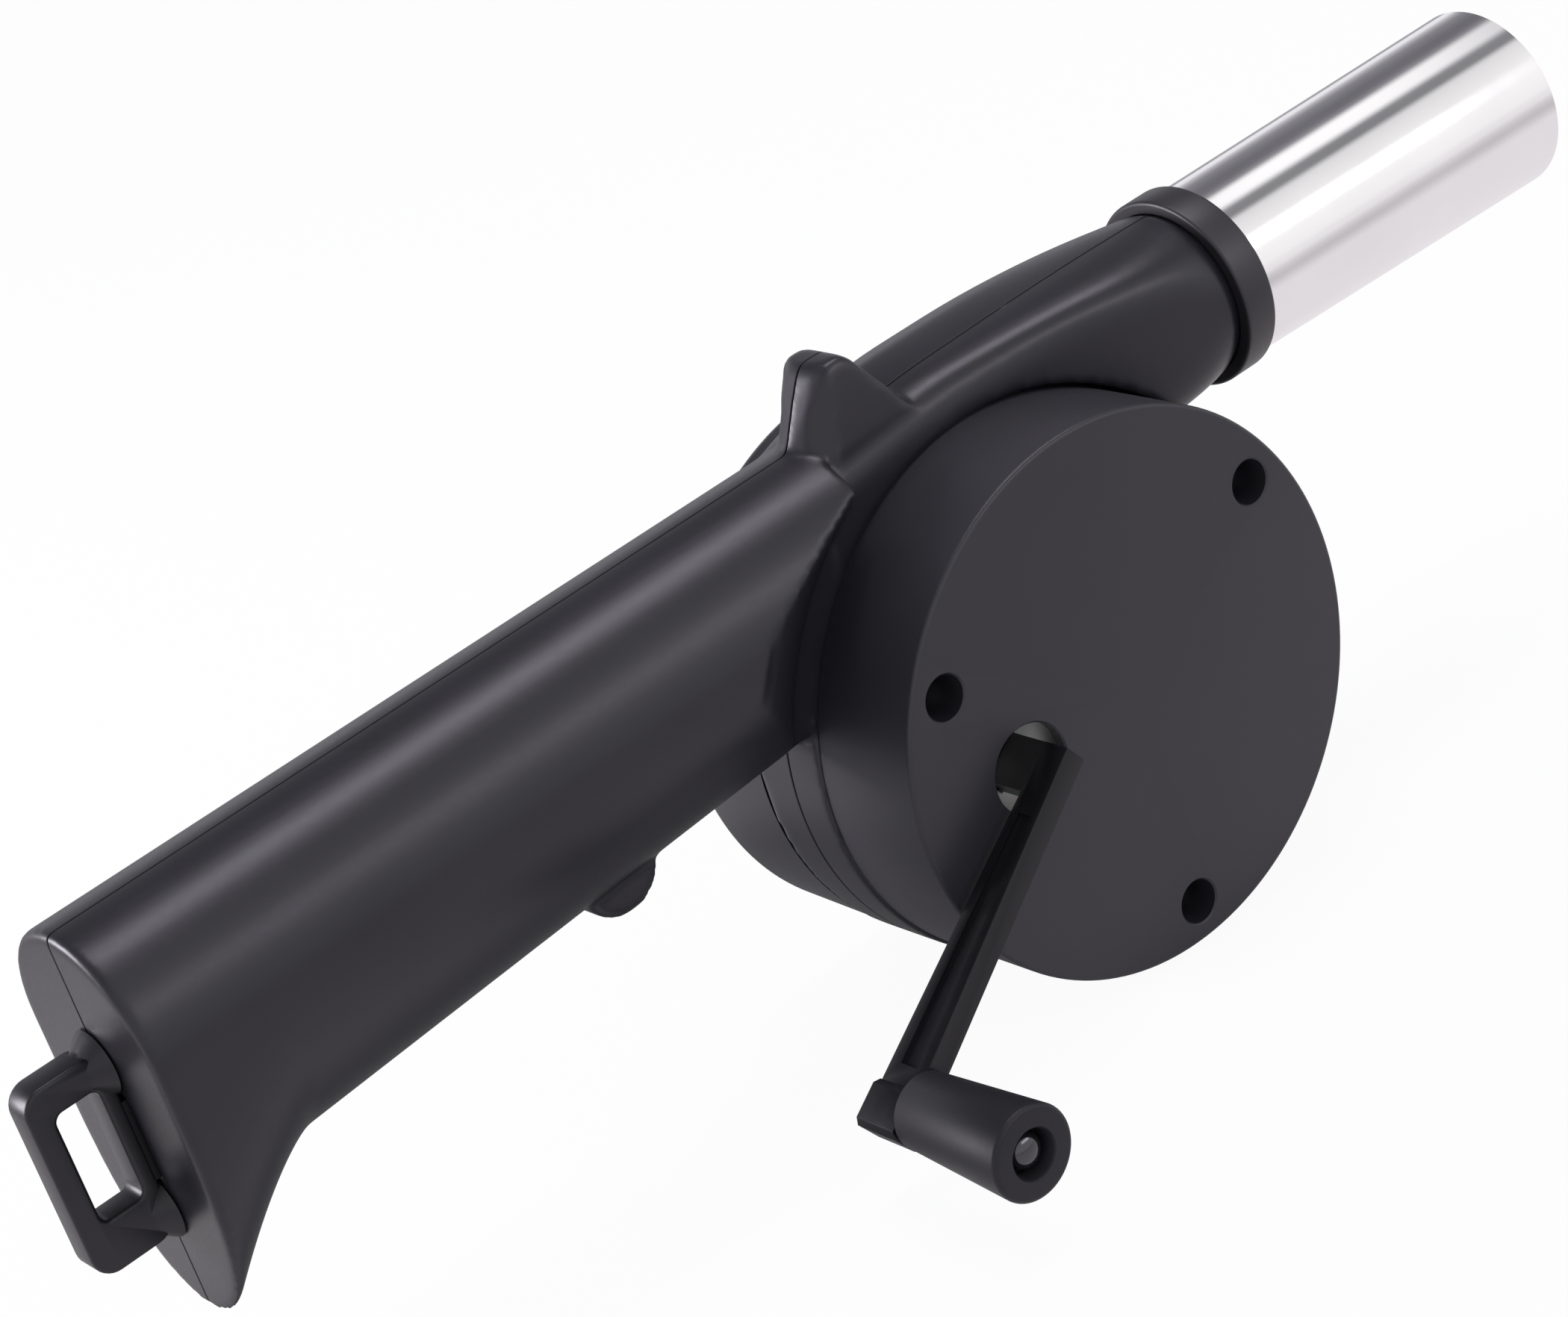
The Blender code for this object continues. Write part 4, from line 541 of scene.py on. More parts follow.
def handle_ring(bm, x, inset=0.0):
    """The handle's section at x, which drops into the pommel at the rear."""
    top = part_way(HANDLE_TOP_Z, (x - END_X) / (HANDLE_FRONT_X - END_X))
    bottom = part_way(HANDLE_LOW_Z, (x - POMMEL_X) / (HANDLE_FRONT_X - POMMEL_X))
    share = max(0.0, (POMMEL_X - x) / (POMMEL_X - END_X))
    bottom -= POMMEL_DROP * share**POMMEL_POWER
    half = HANDLE_HALF_WIDTH - inset
    heel = part_way(HEEL_SQUARENESS, share)
    return ring(bm, x, top - inset, bottom + inset, HANDLE_MIDDLE_Z, half, half, heel=heel)


bm = bmesh.new()
stations = [part_way((END_X, POMMEL_X), i / END_STEPS) for i in range(END_STEPS)]
stations += [part_way((POMMEL_X, HANDLE_FRONT_X), i / END_STEPS) for i in range(END_STEPS + 1)]
rings = [handle_ring(bm, x) for x in stations]
skin(bm, rings)
bmesh.ops.recalc_face_normals(bm, faces=bm.faces)
bmesh.ops.bevel(
    bm, geom=rings[0], offset=HANDLE_RIM, segments=4, profile=0.5, affect="EDGES", material=-1
)
body = solid("body_core", bm)

# The handle's front is rounded off round the drum, on both sides of the band
cuts = []
for name, side, edge in SHOULDERS:
    turn = math.radians(SHOULDER_DEGREES[0])
    centre = (SHOULDER_RADIUS + SHOULDER_ROUND * math.cos(turn), edge - SHOULDER_ROUND * math.sin(turn))
    outline = [(0.0, edge)]
    outline += arc(centre, SHOULDER_ROUND, 180.0 - SHOULDER_DEGREES[0], 180.0 - SHOULDER_DEGREES[1], 16)
    outline += [(outline[-1][0], SHOULDER_REACH), (0.0, SHOULDER_REACH)]
    outline = [(radius, side * place) for radius, place in outline]
    cuts.append(("DIFFERENCE", turned(name, outline, (0.0, PARTING_Y, 0.0), along_y, DRUM_STEPS)))
combine(body, cuts)

# The drum's band is made a little too wide, and the rooms for the two covers trim it
band_y = (GEAR_ROOM_Y - BAND_SPARE, FAN_ROOM_Y + BAND_SPARE)
joins = [("UNION", bar("drum_band", DRUM_RADIUS, *band_y, 0.0, 0.0, DRUM_STEPS))]

bm = bmesh.new()
rings = []
for i in range(SECTION_STEPS + 1):
    share = i / SECTION_STEPS
    x = part_way((NECK_ROWS[0][0], NECK_ROWS[-1][0]), share)
    rise, near, far, squareness = between(NECK_ROWS, x)
    top, bottom = TUBE_Z + rise * MM, TUBE_Z - NECK_DROP
    rings.append(ring(bm, x * MM, top, bottom, TUBE_Z, near * MM, far * MM, squareness))
    for vert in {vert for edge in rings[-1] for vert in edge.verts}:
        if vert.co.y > PARTING_Y and vert.co.z > TUBE_Z:
            vert.co.z += NECK_LEAN * (1.0 - share) * min(1.0, (vert.co.y - PARTING_Y) / NECK_LEAN_WIDTH)
skin(bm, rings)
joins.append(("UNION", solid("neck", bm)))

bm = bmesh.new()
rings = []
for height, nose, corner, front, half in HUMP_ROWS:
    middle = (nose * 2 + corner) / 3
    side = [(front, half * HUMP_FRONT_SHARE), (front - HUMP_NIP, half), (corner, half)]
    side.append((middle, half * HUMP_NOSE_SHARE))
    outline = side + [(nose, 0.0)] + [(x, -y) for x, y in reversed(side)]
    verts = [bm.verts.new((x * MM, PARTING_Y - y * MM, height * MM)) for x, y in outline]
    rings.append([bm.edges.new(pair) for pair in zip(verts, verts[1:] + verts[:1])])
skin(bm, rings)
joins.append(("UNION", solid("hump", bm)))
joins.append(("UNION", bar("lug", LUG_RADIUS, *both_sides(LUG_HALF), *LUG)))

# The hollow inside: the covers' rooms, the fan's chamber and the handle's cavity
for name, radius, low, high in (
    ("gear_room", DRUM_RADIUS, OUTSIDE_Y[0], GEAR_ROOM_Y),
    ("fan_room", DRUM_RADIUS, FAN_ROOM_Y, OUTSIDE_Y[1]),
    ("chamber", CHAMBER_RADIUS, PARTITION_Y, OUTSIDE_Y[1]),
):
    joins.append(("DIFFERENCE", bar(name, radius, low, high, 0.0, 0.0, DRUM_STEPS)))
bm = bmesh.new()
stations = [part_way(CAVITY_X, i / SECTION_STEPS) for i in range(SECTION_STEPS + 1)]
skin(bm, [handle_ring(bm, x, HANDLE_WALL) for x in stations])
joins.append(("DIFFERENCE", solid("cavity", bm)))

# Screw posts, the spigot that carries the collar and the tube, the air's duct, and the wells
joins.append(("UNION", bar("lug_post", LUG_POST_RADIUS, *both_sides(LUG_POST_HALF), *LUG)))
joins.append(("UNION", bar("rear_post", REAR_POST_RADIUS, *both_sides(REAR_POST_HALF), *REAR_POST)))
low, high = SPIGOT_X
outline = [(0.0, low), (SPIGOT_RADIUS, low), (SPIGOT_RADIUS, high), (0.0, high)]
joins.append(("UNION", turned("spigot", outline, tube_line, along_x, 64)))
bm = bmesh.new()
rings = []
for x, top, low, middle, half in DUCT_ROWS:
    rings.append(ring(bm, x * MM, top * MM, low * MM, middle * MM, half * MM, half * MM))
skin(bm, rings)
joins.append(("DIFFERENCE", solid("duct", bm)))
for i, well in enumerate(wells):
    joins.append(("UNION", bar(f"gear_post_{i}", *GEAR_POST, *well)))
    joins.append(("UNION", bar(f"fan_boss_{i}", *FAN_BOSS, *well)))
joins.append(("DIFFERENCE", bar("bush_hole", *BUSH_HOLE, 0.0, 0.0)))
for name, x, z, seat, _ in SHELL_SCREWS:
    joins.append(("DIFFERENCE", bar(name + "_well", WELL_RADIUS, seat - SEAT_GAP, WELL_END_Y, x, z)))
joins.append(("DIFFERENCE", brick("loop_slot", LOOP_SLOT_X, both_sides(LOOP_SLOT_HALF), LOOP_SLOT_Z)))
combine(body, joins)

# A fine even skin: it closes every joint of the solids with a small moulded fillet
remesh = body.modifiers.new("skin", "REMESH")
remesh.mode = "VOXEL"
remesh.voxel_size = SKIN_GRAIN
settle(body)
bm = bmesh.new()
bm.from_mesh(body.data)
for _ in range(SKIN_ROUNDS):
    bmesh.ops.smooth_vert(bm, verts=bm.verts, factor=0.5, use_axis_x=True, use_axis_y=True, use_axis_z=True)
bm.to_mesh(body.data)
bm.free()


SPECULAR_TINT = (0.96, 0.93, 1.0, 1.0)
PLASTIC_IOR = 1.53
TONE_DRIFT = 26.0 * MM


def new_finish(name):
    """A new material, with its node tree, its shader and the object coordinates for its patterns."""
    made = bpy.data.materials.new(name)
    made.use_nodes = True
    tree = made.node_tree
    here = add_node(tree, "ShaderNodeTexCoord").outputs["Object"]
    return made, tree, tree.nodes["Principled BSDF"], here


def moulded(name, colour, tone, roughness, grain, specular):
    """A moulded plastic: a slow drift between two tones, a fine spark-eroded grain and an uneven sheen."""
    made, tree, shader, here = new_finish(name)
    drift = add_node(tree, "ShaderNodeTexNoise", {"Vector": here, "Scale": 1 / TONE_DRIFT, "Detail": 3.0})
    tones = add_node(tree, "ShaderNodeValToRGB", {0: drift.outputs["Fac"]})
    fill_ramp(tones.color_ramp, ((0.0, colour), (0.3, colour), (0.7, tone), (1.0, tone)))
    erosion = add_node(tree, "ShaderNodeTexNoise", {"Vector": here, "Scale": 1 / grain, "Detail": 2.0})
    height = erosion.outputs["Fac"]
    uneven = {"To Min": roughness - 0.04, "To Max": roughness + 0.05}
    sheen = add_node(tree, "ShaderNodeMapRange", {"Value": height, **uneven})
    relief = add_node(tree, "ShaderNodeBump", {"Height": height, "Strength": 0.12, "Distance": 0.04 * MM})
    set_inputs(
        tree,
        shader,
        {
            "Base Color": tones.outputs[0],
            "Roughness": sheen.outputs[0],
            "Normal": relief.outputs[0],
            "Specular IOR Level": specular,
            "Specular Tint": SPECULAR_TINT,
            "IOR": PLASTIC_IOR,
        },
    )
    return made


def finish_piece(item, material, rides, node, sharp=40.0):
    """Gives a piece its material and shading, puts it on the body it rides on, and hides the frame's part it
    stands for.
    """
    item.data.materials.clear()
    item.data.materials.append(material)
    item.data.shade_smooth()
    item.data.set_sharp_from_angle(angle=math.radians(sharp))
    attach(item, rides)
    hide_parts(node)


# Black ABS from a lightly eroded tool: a satin skin. Its grain of 0.1 mm is drawn at 0.7 mm, so it shows.
abs_black = moulded("satin_black_abs", "#1d1c21", "#222127", 0.36, 0.7 * MM, 0.42)


def split_shell(name, side, node):
    """Keeps one side of the parting plane, closes the cut and chamfers its outer edge."""
    bm = bmesh.new()
    bm.from_mesh(body.data)
    edge = PARTING_Y + side * PARTING_GAP / 2
    for place, clear in ((edge + side * PARTING_CHAMFER, False), (edge, True)):
        cut = bmesh.ops.bisect_plane(
            bm,
            geom=bm.verts[:] + bm.edges[:] + bm.faces[:],
            dist=CLOSE,
            plane_co=(0.0, place, 0.0),
            plane_no=(0.0, -side, 0.0),
            clear_outer=clear,
        )
    rim = [item for item in cut["geom_cut"] if isinstance(item, bmesh.types.BMEdge)]
    for vert in {vert for rim_edge in rim for vert in rim_edge.verts}:
        normal = vert.normal.copy()
        normal.y = 0.0
        if normal.length > 0:
            vert.co -= normal.normalized() * PARTING_CHAMFER
    bmesh.ops.triangle_fill(bm, edges=rim, use_beauty=True)
    finish_piece(solid(name, bm), abs_black, "body", node)


split_shell("right_shell_moulding", -1, "right_shell")
split_shell("left_shell_moulding", 1, "left_shell")
bpy.data.objects.remove(body, do_unlink=True)


# Gear cover. A deep flat cap, moulded in dark grey ABS with a finer skin than the handle. Three screws in
# deep wells hold it, the crank's tang goes in through its hole, and two inner bosses carry shaft ends.
COVER_RADIUS = 41.0 * MM
COVER_WALL = 2.0 * MM
COVER_EDGE = 0.7 * MM
COVER_RIM_Y = 19.5 * MM
COVER_STEPS = 160
COVER_POST = (4.2 * MM, 1.2 * MM, 12.3 * MM)
COVER_WELL_FLOOR_Y = 10.3 * MM
SCREW_HOLE = 1.4 * MM
COVER_HOLE_Y = (9.0 * MM, 14.0 * MM)
SHAFT_BOSS = (3.8 * MM, 1.2 * MM, 5.2 * MM)
SHAFT_BORE = (1.8 * MM, 3.2 * MM, 6.2 * MM)
MOUTH_CHAMFER = 0.25 * MM
CUTTER_SPARE = 2.0 * MM
CRANK_X = -20.5 * MM
CRANK_HOLE = 6.5 * MM
CRANK_HOLE_FLOOR_Y = 6.0 * MM
IDLER = (-10.25 * MM, 15.998 * MM)


def sunk(name, radius, mouth, floor, x, z, steps=64):
    """A cutter for a round well that runs across the blower, with a small chamfer at its mouth."""
    inward = math.copysign(1.0, floor - mouth)
    outside = mouth - inward * CUTTER_SPARE
    outline = [(0.0, outside), (radius + MOUTH_CHAMFER + CUTTER_SPARE, outside)]
    outline += [(radius, mouth + inward * MOUTH_CHAMFER), (radius, floor), (0.0, floor)]
    return turned(name, outline, (x, 0.0, z), along_y, steps)


inner_radius = COVER_RADIUS - COVER_WALL
outline = [(0.0, 0.0)]
outline += arc((COVER_RADIUS - COVER_EDGE, COVER_EDGE), COVER_EDGE, -90.0, 0.0)
outline += [(COVER_RADIUS, COVER_RIM_Y), (inner_radius, COVER_RIM_Y)]
outline += [(inner_radius, COVER_WALL), (0.0, COVER_WALL)]
cover = turned("gear_cover_cap", outline, drum_centre, along_y, COVER_STEPS)
tools = [("UNION", bar(f"cover_post_{i}", *COVER_POST, *well)) for i, well in enumerate(wells)]
for name, place in (("fan", (0.0, 0.0)), ("idler", IDLER)):
    tools.append(("UNION", bar(name + "_boss", *SHAFT_BOSS, *place)))
    tools.append(("DIFFERENCE", bar(name + "_bore", *SHAFT_BORE, *place)))
for i, well in enumerate(wells):
    tools.append(("DIFFERENCE", sunk(f"cover_well_{i}", WELL_RADIUS, 0.0, COVER_WELL_FLOOR_Y, *well)))
    tools.append(("DIFFERENCE", bar(f"cover_hole_{i}", SCREW_HOLE, *COVER_HOLE_Y, *well)))
tools.append(("DIFFERENCE", sunk("crank_hole", CRANK_HOLE, 0.0, CRANK_HOLE_FLOOR_Y, CRANK_X, 0.0, 96)))
combine(cover, tools)
# Dark grey ABS from a polished tool with a very fine skin, 0.05 mm, drawn at 0.5 mm: flat and even.
cover_grey = moulded("fine_dark_grey_abs", "#29282d", "#2d2c32", 0.42, 0.5 * MM, 0.43)
finish_piece(cover, cover_grey, "body", "gear_cover")


# Inlet cover. The far side's cap, in the body's black ABS, with sixteen slots that let the air in to the
# middle of the fan, a seat for the fan's outer bush, and three wells for its screws.
INLET_FACE_Y = 52.9 * MM
INLET_INNER_Y = 50.9 * MM
INLET_RIM_Y = 34.4 * MM
INLET_INNER_RADIUS = 39.0 * MM
INLET_RIM_RADIUS = 41.3 * MM
INLET_FACE_RADIUS = 41.0 * MM
INLET_ROUND = 2.2 * MM
INLET_POST = (4.2 * MM, 34.4 * MM, 51.7 * MM)
INLET_WELL_FLOOR_Y = 36.4 * MM
INLET_HOLE_Y = (32.0 * MM, 37.0 * MM)
BUSH_SEAT = (5.6 * MM, 48.1 * MM, 51.7 * MM)
BUSH_BORE = (3.7 * MM, 46.1 * MM, 51.8 * MM)
SLOTS = 16
SLOT_WIDTH = 2.8 * MM
SLOT_SPAN = (12.0 * MM, 28.5 * MM)
SLOT_CUT_Y = 55.0 * MM
SLOT_CUT_DEPTH = 6.0 * MM
SLOT_END_STEPS = 24

outline = [(0.0, INLET_INNER_Y), (INLET_INNER_RADIUS, INLET_INNER_Y)]
outline += [(INLET_INNER_RADIUS, INLET_RIM_Y), (INLET_RIM_RADIUS, INLET_RIM_Y)]
centre = (INLET_FACE_RADIUS - INLET_ROUND, INLET_FACE_Y - INLET_ROUND)
outline += arc(centre, INLET_ROUND, 0.0, 90.0, 10) + [(0.0, INLET_FACE_Y)]
inlet = turned("inlet_cover_cap", outline, drum_centre, along_y, COVER_STEPS)
tools = [("UNION", bar(f"inlet_post_{i}", *INLET_POST, *well)) for i, well in enumerate(wells)]
tools.append(("UNION", bar("bush_seat", *BUSH_SEAT, 0.0, 0.0)))
tools.append(("DIFFERENCE", bar("bush_bore", *BUSH_BORE, 0.0, 0.0)))
for i, well in enumerate(wells):
    cutter = sunk(f"inlet_well_{i}", WELL_RADIUS, INLET_FACE_Y, INLET_WELL_FLOOR_Y, *well)
    tools.append(("DIFFERENCE", cutter))
    tools.append(("DIFFERENCE", bar(f"inlet_hole_{i}", SCREW_HOLE, *INLET_HOLE_Y, *well)))
for i in range(SLOTS):
    bm = bmesh.new()
    made = bmesh.ops.create_circle(bm, cap_ends=True, segments=SLOT_END_STEPS, radius=SLOT_WIDTH / 2)
    half_step = Matrix.Rotation(math.pi / SLOT_END_STEPS, 3, "Z")
    bmesh.ops.rotate(bm, verts=bm.verts, matrix=half_step)
    outer = [vert for vert in made["verts"] if vert.co.x > 0]
    bmesh.ops.translate(bm, verts=outer, vec=(SLOT_SPAN[1] - SLOT_SPAN[0] - SLOT_WIDTH, 0.0, 0.0))
    bmesh.ops.translate(bm, verts=bm.verts, vec=(SLOT_SPAN[0] + SLOT_WIDTH / 2, 0.0, 0.0))
    drawn = bmesh.ops.extrude_face_region(bm, geom=bm.faces[:])
    top = [item for item in drawn["geom"] if isinstance(item, bmesh.types.BMVert)]
    bmesh.ops.translate(bm, verts=top, vec=(0.0, 0.0, SLOT_CUT_DEPTH))
    upright = Matrix.Rotation(math.pi / 2, 4, "X")
    spread = Matrix.Rotation(-2 * math.pi * (i + 0.5) / SLOTS, 4, "Y")
    start = Matrix.Translation((0.0, SLOT_CUT_Y, 0.0))
    bmesh.ops.transform(bm, verts=bm.verts, matrix=start @ spread @ upright)
    tools.append(("DIFFERENCE", solid(f"slot_{i}", bm)))
combine(inlet, tools)
finish_piece(inlet, abs_black, "body", "inlet_cover")


# Screws. Zinc plated pan heads with a cross recess: three in each cover's wells, and three that draw the
# two shells together from the far side. They were turned and rolled, then plated.
HEAD_RADIUS = 2.7 * MM
HEAD_HEIGHT = 1.8 * MM
HEAD_FLAT = 0.55
HEAD_SKIRT = 0.3
HEAD_SHOULDER = 0.45
HEAD_DEGREES = (70.0, 50.0, 30.0, 10.0)
SHANK_RADIUS = 1.1 * MM
POINT_RADIUS = 0.3 * MM
POINT_LENGTH = 0.8 * MM
CROSS_LONG = 1.5 * MM
CROSS_WIDE = 0.28 * MM
CROSS_FLOOR = 0.35
COVER_SCREW = 7.3 * MM

zinc, tree, shader, here = new_finish("zinc_plated_steel")
# Bright zinc has a cloudy spangle of about 1.5 mm, which shows in its tone and in its sheen
cloud = add_node(tree, "ShaderNodeTexNoise", {"Vector": here, "Scale": 1 / (1.5 * MM), "Detail": 3.0})
tones = add_node(tree, "ShaderNodeValToRGB", {0: cloud.outputs["Fac"]})
fill_ramp(tones.color_ramp, ((0.0, "#a9abb0"), (1.0, "#c9cbd0")))
sheen = add_node(tree, "ShaderNodeMapRange", {"Value": cloud.outputs["Fac"], "To Min": 0.22, "To Max": 0.4})
set_inputs(tree, shader, {"Metallic": 1.0, "Base Color": tones.outputs[0], "Roughness": sheen.outputs[0]})


def pan_screw(node, x, z, seat, length, way):
    """A pan head screw across the blower: its head sits on seat and points the way given, -1 or 1."""
    outline = [(0.0, HEAD_HEIGHT), (HEAD_FLAT * HEAD_RADIUS, HEAD_HEIGHT)]
    for degrees in HEAD_DEGREES:
        turn = math.radians(degrees)
        rise = HEAD_HEIGHT * (HEAD_SHOULDER + (1 - HEAD_SHOULDER) * math.sin(turn))
        outline.append((HEAD_RADIUS * (HEAD_FLAT + (1 - HEAD_FLAT) * math.cos(turn)), rise))
    outline += [(HEAD_RADIUS, HEAD_SKIRT * HEAD_HEIGHT), (HEAD_RADIUS, 0.0), (SHANK_RADIUS, 0.0)]
    outline += [(SHANK_RADIUS, POINT_LENGTH - length), (POINT_RADIUS, -length), (0.0, -length)]
    outline = [(radius, seat + way * place) for radius, place in outline]
    screw = turned(node + "_pan_head", outline, (x, 0.0, z), along_y, 40)
    depth = sorted((seat + way * CROSS_FLOOR * HEAD_HEIGHT, seat + way * 2 * HEAD_HEIGHT))
    recess = []
    for name, wide, tall in (("across", CROSS_LONG, CROSS_WIDE), ("upright", CROSS_WIDE, CROSS_LONG)):
        cutter = brick(f"{node}_{name}", (x - wide, x + wide), depth, (z - tall, z + tall))
        recess.append(("DIFFERENCE", cutter))
    combine(screw, recess)
    finish_piece(screw, zinc, "body", node, 30.0)


for i, (x, z) in enumerate(wells):
    pan_screw(f"gear_cover_screw_{i + 1}", x, z, COVER_WELL_FLOOR_Y - SEAT_GAP, COVER_SCREW, -1)
    pan_screw(f"inlet_cover_screw_{i + 1}", x, z, INLET_WELL_FLOOR_Y + SEAT_GAP, COVER_SCREW, 1)
for name, x, z, seat, length in SHELL_SCREWS:
    pan_screw(f"shell_screw_{name}", x, z, seat, length, 1)


# Collar ring. A moulded black nylon ring that hides the tube's root, pressed over the neck's spigot with
# a small groove between it and the neck.
COLLAR_X = (47.7 * MM, 53.5 * MM)
COLLAR_RADIUS = 15.0 * MM
COLLAR_BORE = 14.2 * MM
COLLAR_SEAT = 13.2 * MM
COLLAR_EDGE = 0.6 * MM
COLLAR_LIP = 0.9 * MM

outline = [(COLLAR_BORE, COLLAR_X[1])]
edge = COLLAR_RADIUS - COLLAR_EDGE
outline += arc((edge, COLLAR_X[1] - COLLAR_EDGE), COLLAR_EDGE, 90.0, 0.0)
outline += arc((edge, COLLAR_X[0] + COLLAR_EDGE), COLLAR_EDGE, 0.0, -90.0)
outline += [(COLLAR_SEAT, COLLAR_X[0]), (COLLAR_SEAT, COLLAR_X[0] + COLLAR_LIP)]
outline += [(COLLAR_BORE, COLLAR_X[0] + COLLAR_LIP)]
collar = turned("collar_moulding", outline, tube_line, along_x, 128, closed=True)
# Black nylon, a little smoother and deeper in tone than the ABS; its skin of 0.08 mm is drawn at 0.6 mm.
nylon_collar = moulded("satin_black_nylon", "#1f1d20", "#252326", 0.42, 0.6 * MM, 0.5)
finish_piece(collar, nylon_collar, "body", "collar_ring")


# Outlet tube. Thin stainless steel, drawn to a slight flare and polished along its length, so that it
# mirrors the room in long bands. Its root sits between the spigot and the collar.
TUBE_X = 48.9 * MM
TUBE_LENGTH = 68.6 * MM
TUBE_SAG = 0.9 * MM
TUBE_ROOT_RADIUS = 13.9 * MM
TUBE_MOUTH_RADIUS = 14.75 * MM
TUBE_WALL = 0.7 * MM
TUBE_LIP = 0.2 * MM
TUBE_STRAIGHT = 5.8 * MM
TUBE_INNER_STRAIGHT = 15.0 * MM
MARK_LENGTH = 60.0 * MM
MARK_WIDTH = 0.5 * MM

mouth = TUBE_X + TUBE_LENGTH
mouth_bore = TUBE_MOUTH_RADIUS - TUBE_WALL
root_bore = TUBE_ROOT_RADIUS - TUBE_WALL
outline = [(mouth_bore + TUBE_LIP, mouth), (TUBE_MOUTH_RADIUS - TUBE_LIP, mouth)]
outline += [(TUBE_MOUTH_RADIUS, mouth - TUBE_LIP)]
outline += [(TUBE_ROOT_RADIUS, TUBE_X + TUBE_STRAIGHT), (TUBE_ROOT_RADIUS, TUBE_X), (root_bore, TUBE_X)]
outline += [(root_bore, TUBE_X + TUBE_INNER_STRAIGHT), (mouth_bore, mouth - TUBE_LIP)]
tube = turned("outlet_tube_drawn", outline, tube_line, along_x, 144, closed=True)
for vert in tube.data.vertices:
    vert.co.z -= TUBE_SAG * (vert.co.x - TUBE_X) / TUBE_LENGTH

steel, tree, shader, here = new_finish("polished_stainless_steel")
# Polishing marks run along the tube, 60 mm long and 0.5 mm apart, under a faint smear of 14 mm
stretch = (1 / MARK_LENGTH, 1 / MARK_WIDTH, 1 / MARK_WIDTH)
marks = add_node(tree, "ShaderNodeMapping", {"Vector": here, "Scale": stretch})
lines = add_node(tree, "ShaderNodeTexNoise", {"Vector": marks.outputs[0], "Scale": 1.0, "Detail": 2.0})
smear = add_node(tree, "ShaderNodeTexNoise", {"Vector": here, "Scale": 1 / (14 * MM), "Detail": 3.0})
tones = add_node(tree, "ShaderNodeValToRGB", {0: smear.outputs["Fac"]})
fill_ramp(tones.color_ramp, ((0.0, "#ebe9ea"), (1.0, "#f4f2f3")))
sheen = add_node(tree, "ShaderNodeMapRange", {"Value": smear.outputs["Fac"], "To Min": 0.07, "To Max": 0.15})
relief = add_node(
    tree, "ShaderNodeBump", {"Height": lines.outputs["Fac"], "Strength": 0.05, "Distance": 0.02 * MM}
)
set_inputs(tree, shader, {"Metallic": 1.0, "Base Color": tones.outputs[0], "Roughness": sheen.outputs[0]})
set_inputs(tree, shader, {"Normal": relief.outputs[0]})
finish_piece(tube, steel, "body", "outlet_tube")


# Hanging loop. A flat frame of black nylon on the handle's end face, moulded with a tenon that goes
# through the face and a head that the closed shells trap inside. Its bars swell where they meet the face.
LOOP_HALF = 2.5 * MM
LOOP_X = (-161.7 * MM, -149.5 * MM)
LOOP_Z = (2.5 * MM, 30.5 * MM)
HOLE_X = (-158.3 * MM, -151.8 * MM)
HOLE_Z = (9.5 * MM, 25.9 * MM)
LOOP_ROUND = 3.2 * MM
HOLE_ROUND = 1.3 * MM
LOOP_EDGE = 0.55 * MM
TENON_X = (-150.3 * MM, -145.3 * MM)
TENON_Z = (10.5 * MM, 22.5 * MM)
TENON_HALF = 2.4 * MM
TENON_HEAD_X = (-146.3 * MM, -144.3 * MM)
TENON_HEAD_Z = (7.5 * MM, 25.5 * MM)
TENON_HEAD_HALF = 3.5 * MM
FOOT_Z = (5.6 * MM, 27.8 * MM)
# Foot, in mm: radius, and height over the end face
FOOT_OUTLINE = ((0.0, 0.0), (4.7, 0.0), (4.3, 0.7), (3.1, 2.2), (1.9, 4.1), (0.0, 4.4))


def rounded_plate(name, x, z, rounds, half):
    """A plate in the side view, centred on the parting plane, with rounded corners."""
    bm = bmesh.new()
    low, high = both_sides(half)
    verts = block(bm, (x[0], low, z[0]), (x[1], high, z[1]))
    edges = {edge for vert in verts for edge in vert.link_edges}
    across = [edge for edge in edges if abs(edge.verts[0].co.y - edge.verts[1].co.y) > half]
    bmesh.ops.bevel(bm, geom=across, offset=rounds, segments=8, profile=0.5, affect="EDGES", material=-1)
    return solid(name, bm)


def soften(item, width, degrees):
    """Rounds the edges that turn by more than the degrees given."""
    step = item.modifiers.new("edge", "BEVEL")
    step.width = width
    step.segments = 3
    step.limit_method = "ANGLE"
    step.angle_limit = math.radians(degrees)
    settle(item)


loop = rounded_plate("hanging_loop_frame", LOOP_X, LOOP_Z, LOOP_ROUND, LOOP_HALF)
combine(loop, [("DIFFERENCE", rounded_plate("loop_window", HOLE_X, HOLE_Z, HOLE_ROUND, 2 * LOOP_HALF))])
soften(loop, LOOP_EDGE, 50.0)
tools = [("UNION", brick("loop_tenon", TENON_X, both_sides(TENON_HALF), TENON_Z))]
tools.append(("UNION", brick("loop_head", TENON_HEAD_X, both_sides(TENON_HEAD_HALF), TENON_HEAD_Z)))
for i, height in enumerate(FOOT_Z):
    outline = [(radius * MM, LOOP_X[1] - rise * MM) for radius, rise in FOOT_OUTLINE]
    tools.append(("UNION", turned(f"loop_foot_{i}", outline, (0.0, PARTING_Y, height), along_x, 48)))
combine(loop, tools)
# Black nylon again, with the smoother face of a small polished tool.
nylon_loop = moulded("moulded_black_nylon", "#17161a", "#1b1a1e", 0.38, 0.6 * MM, 0.4)
finish_piece(loop, nylon_loop, "body", "hanging_loop")


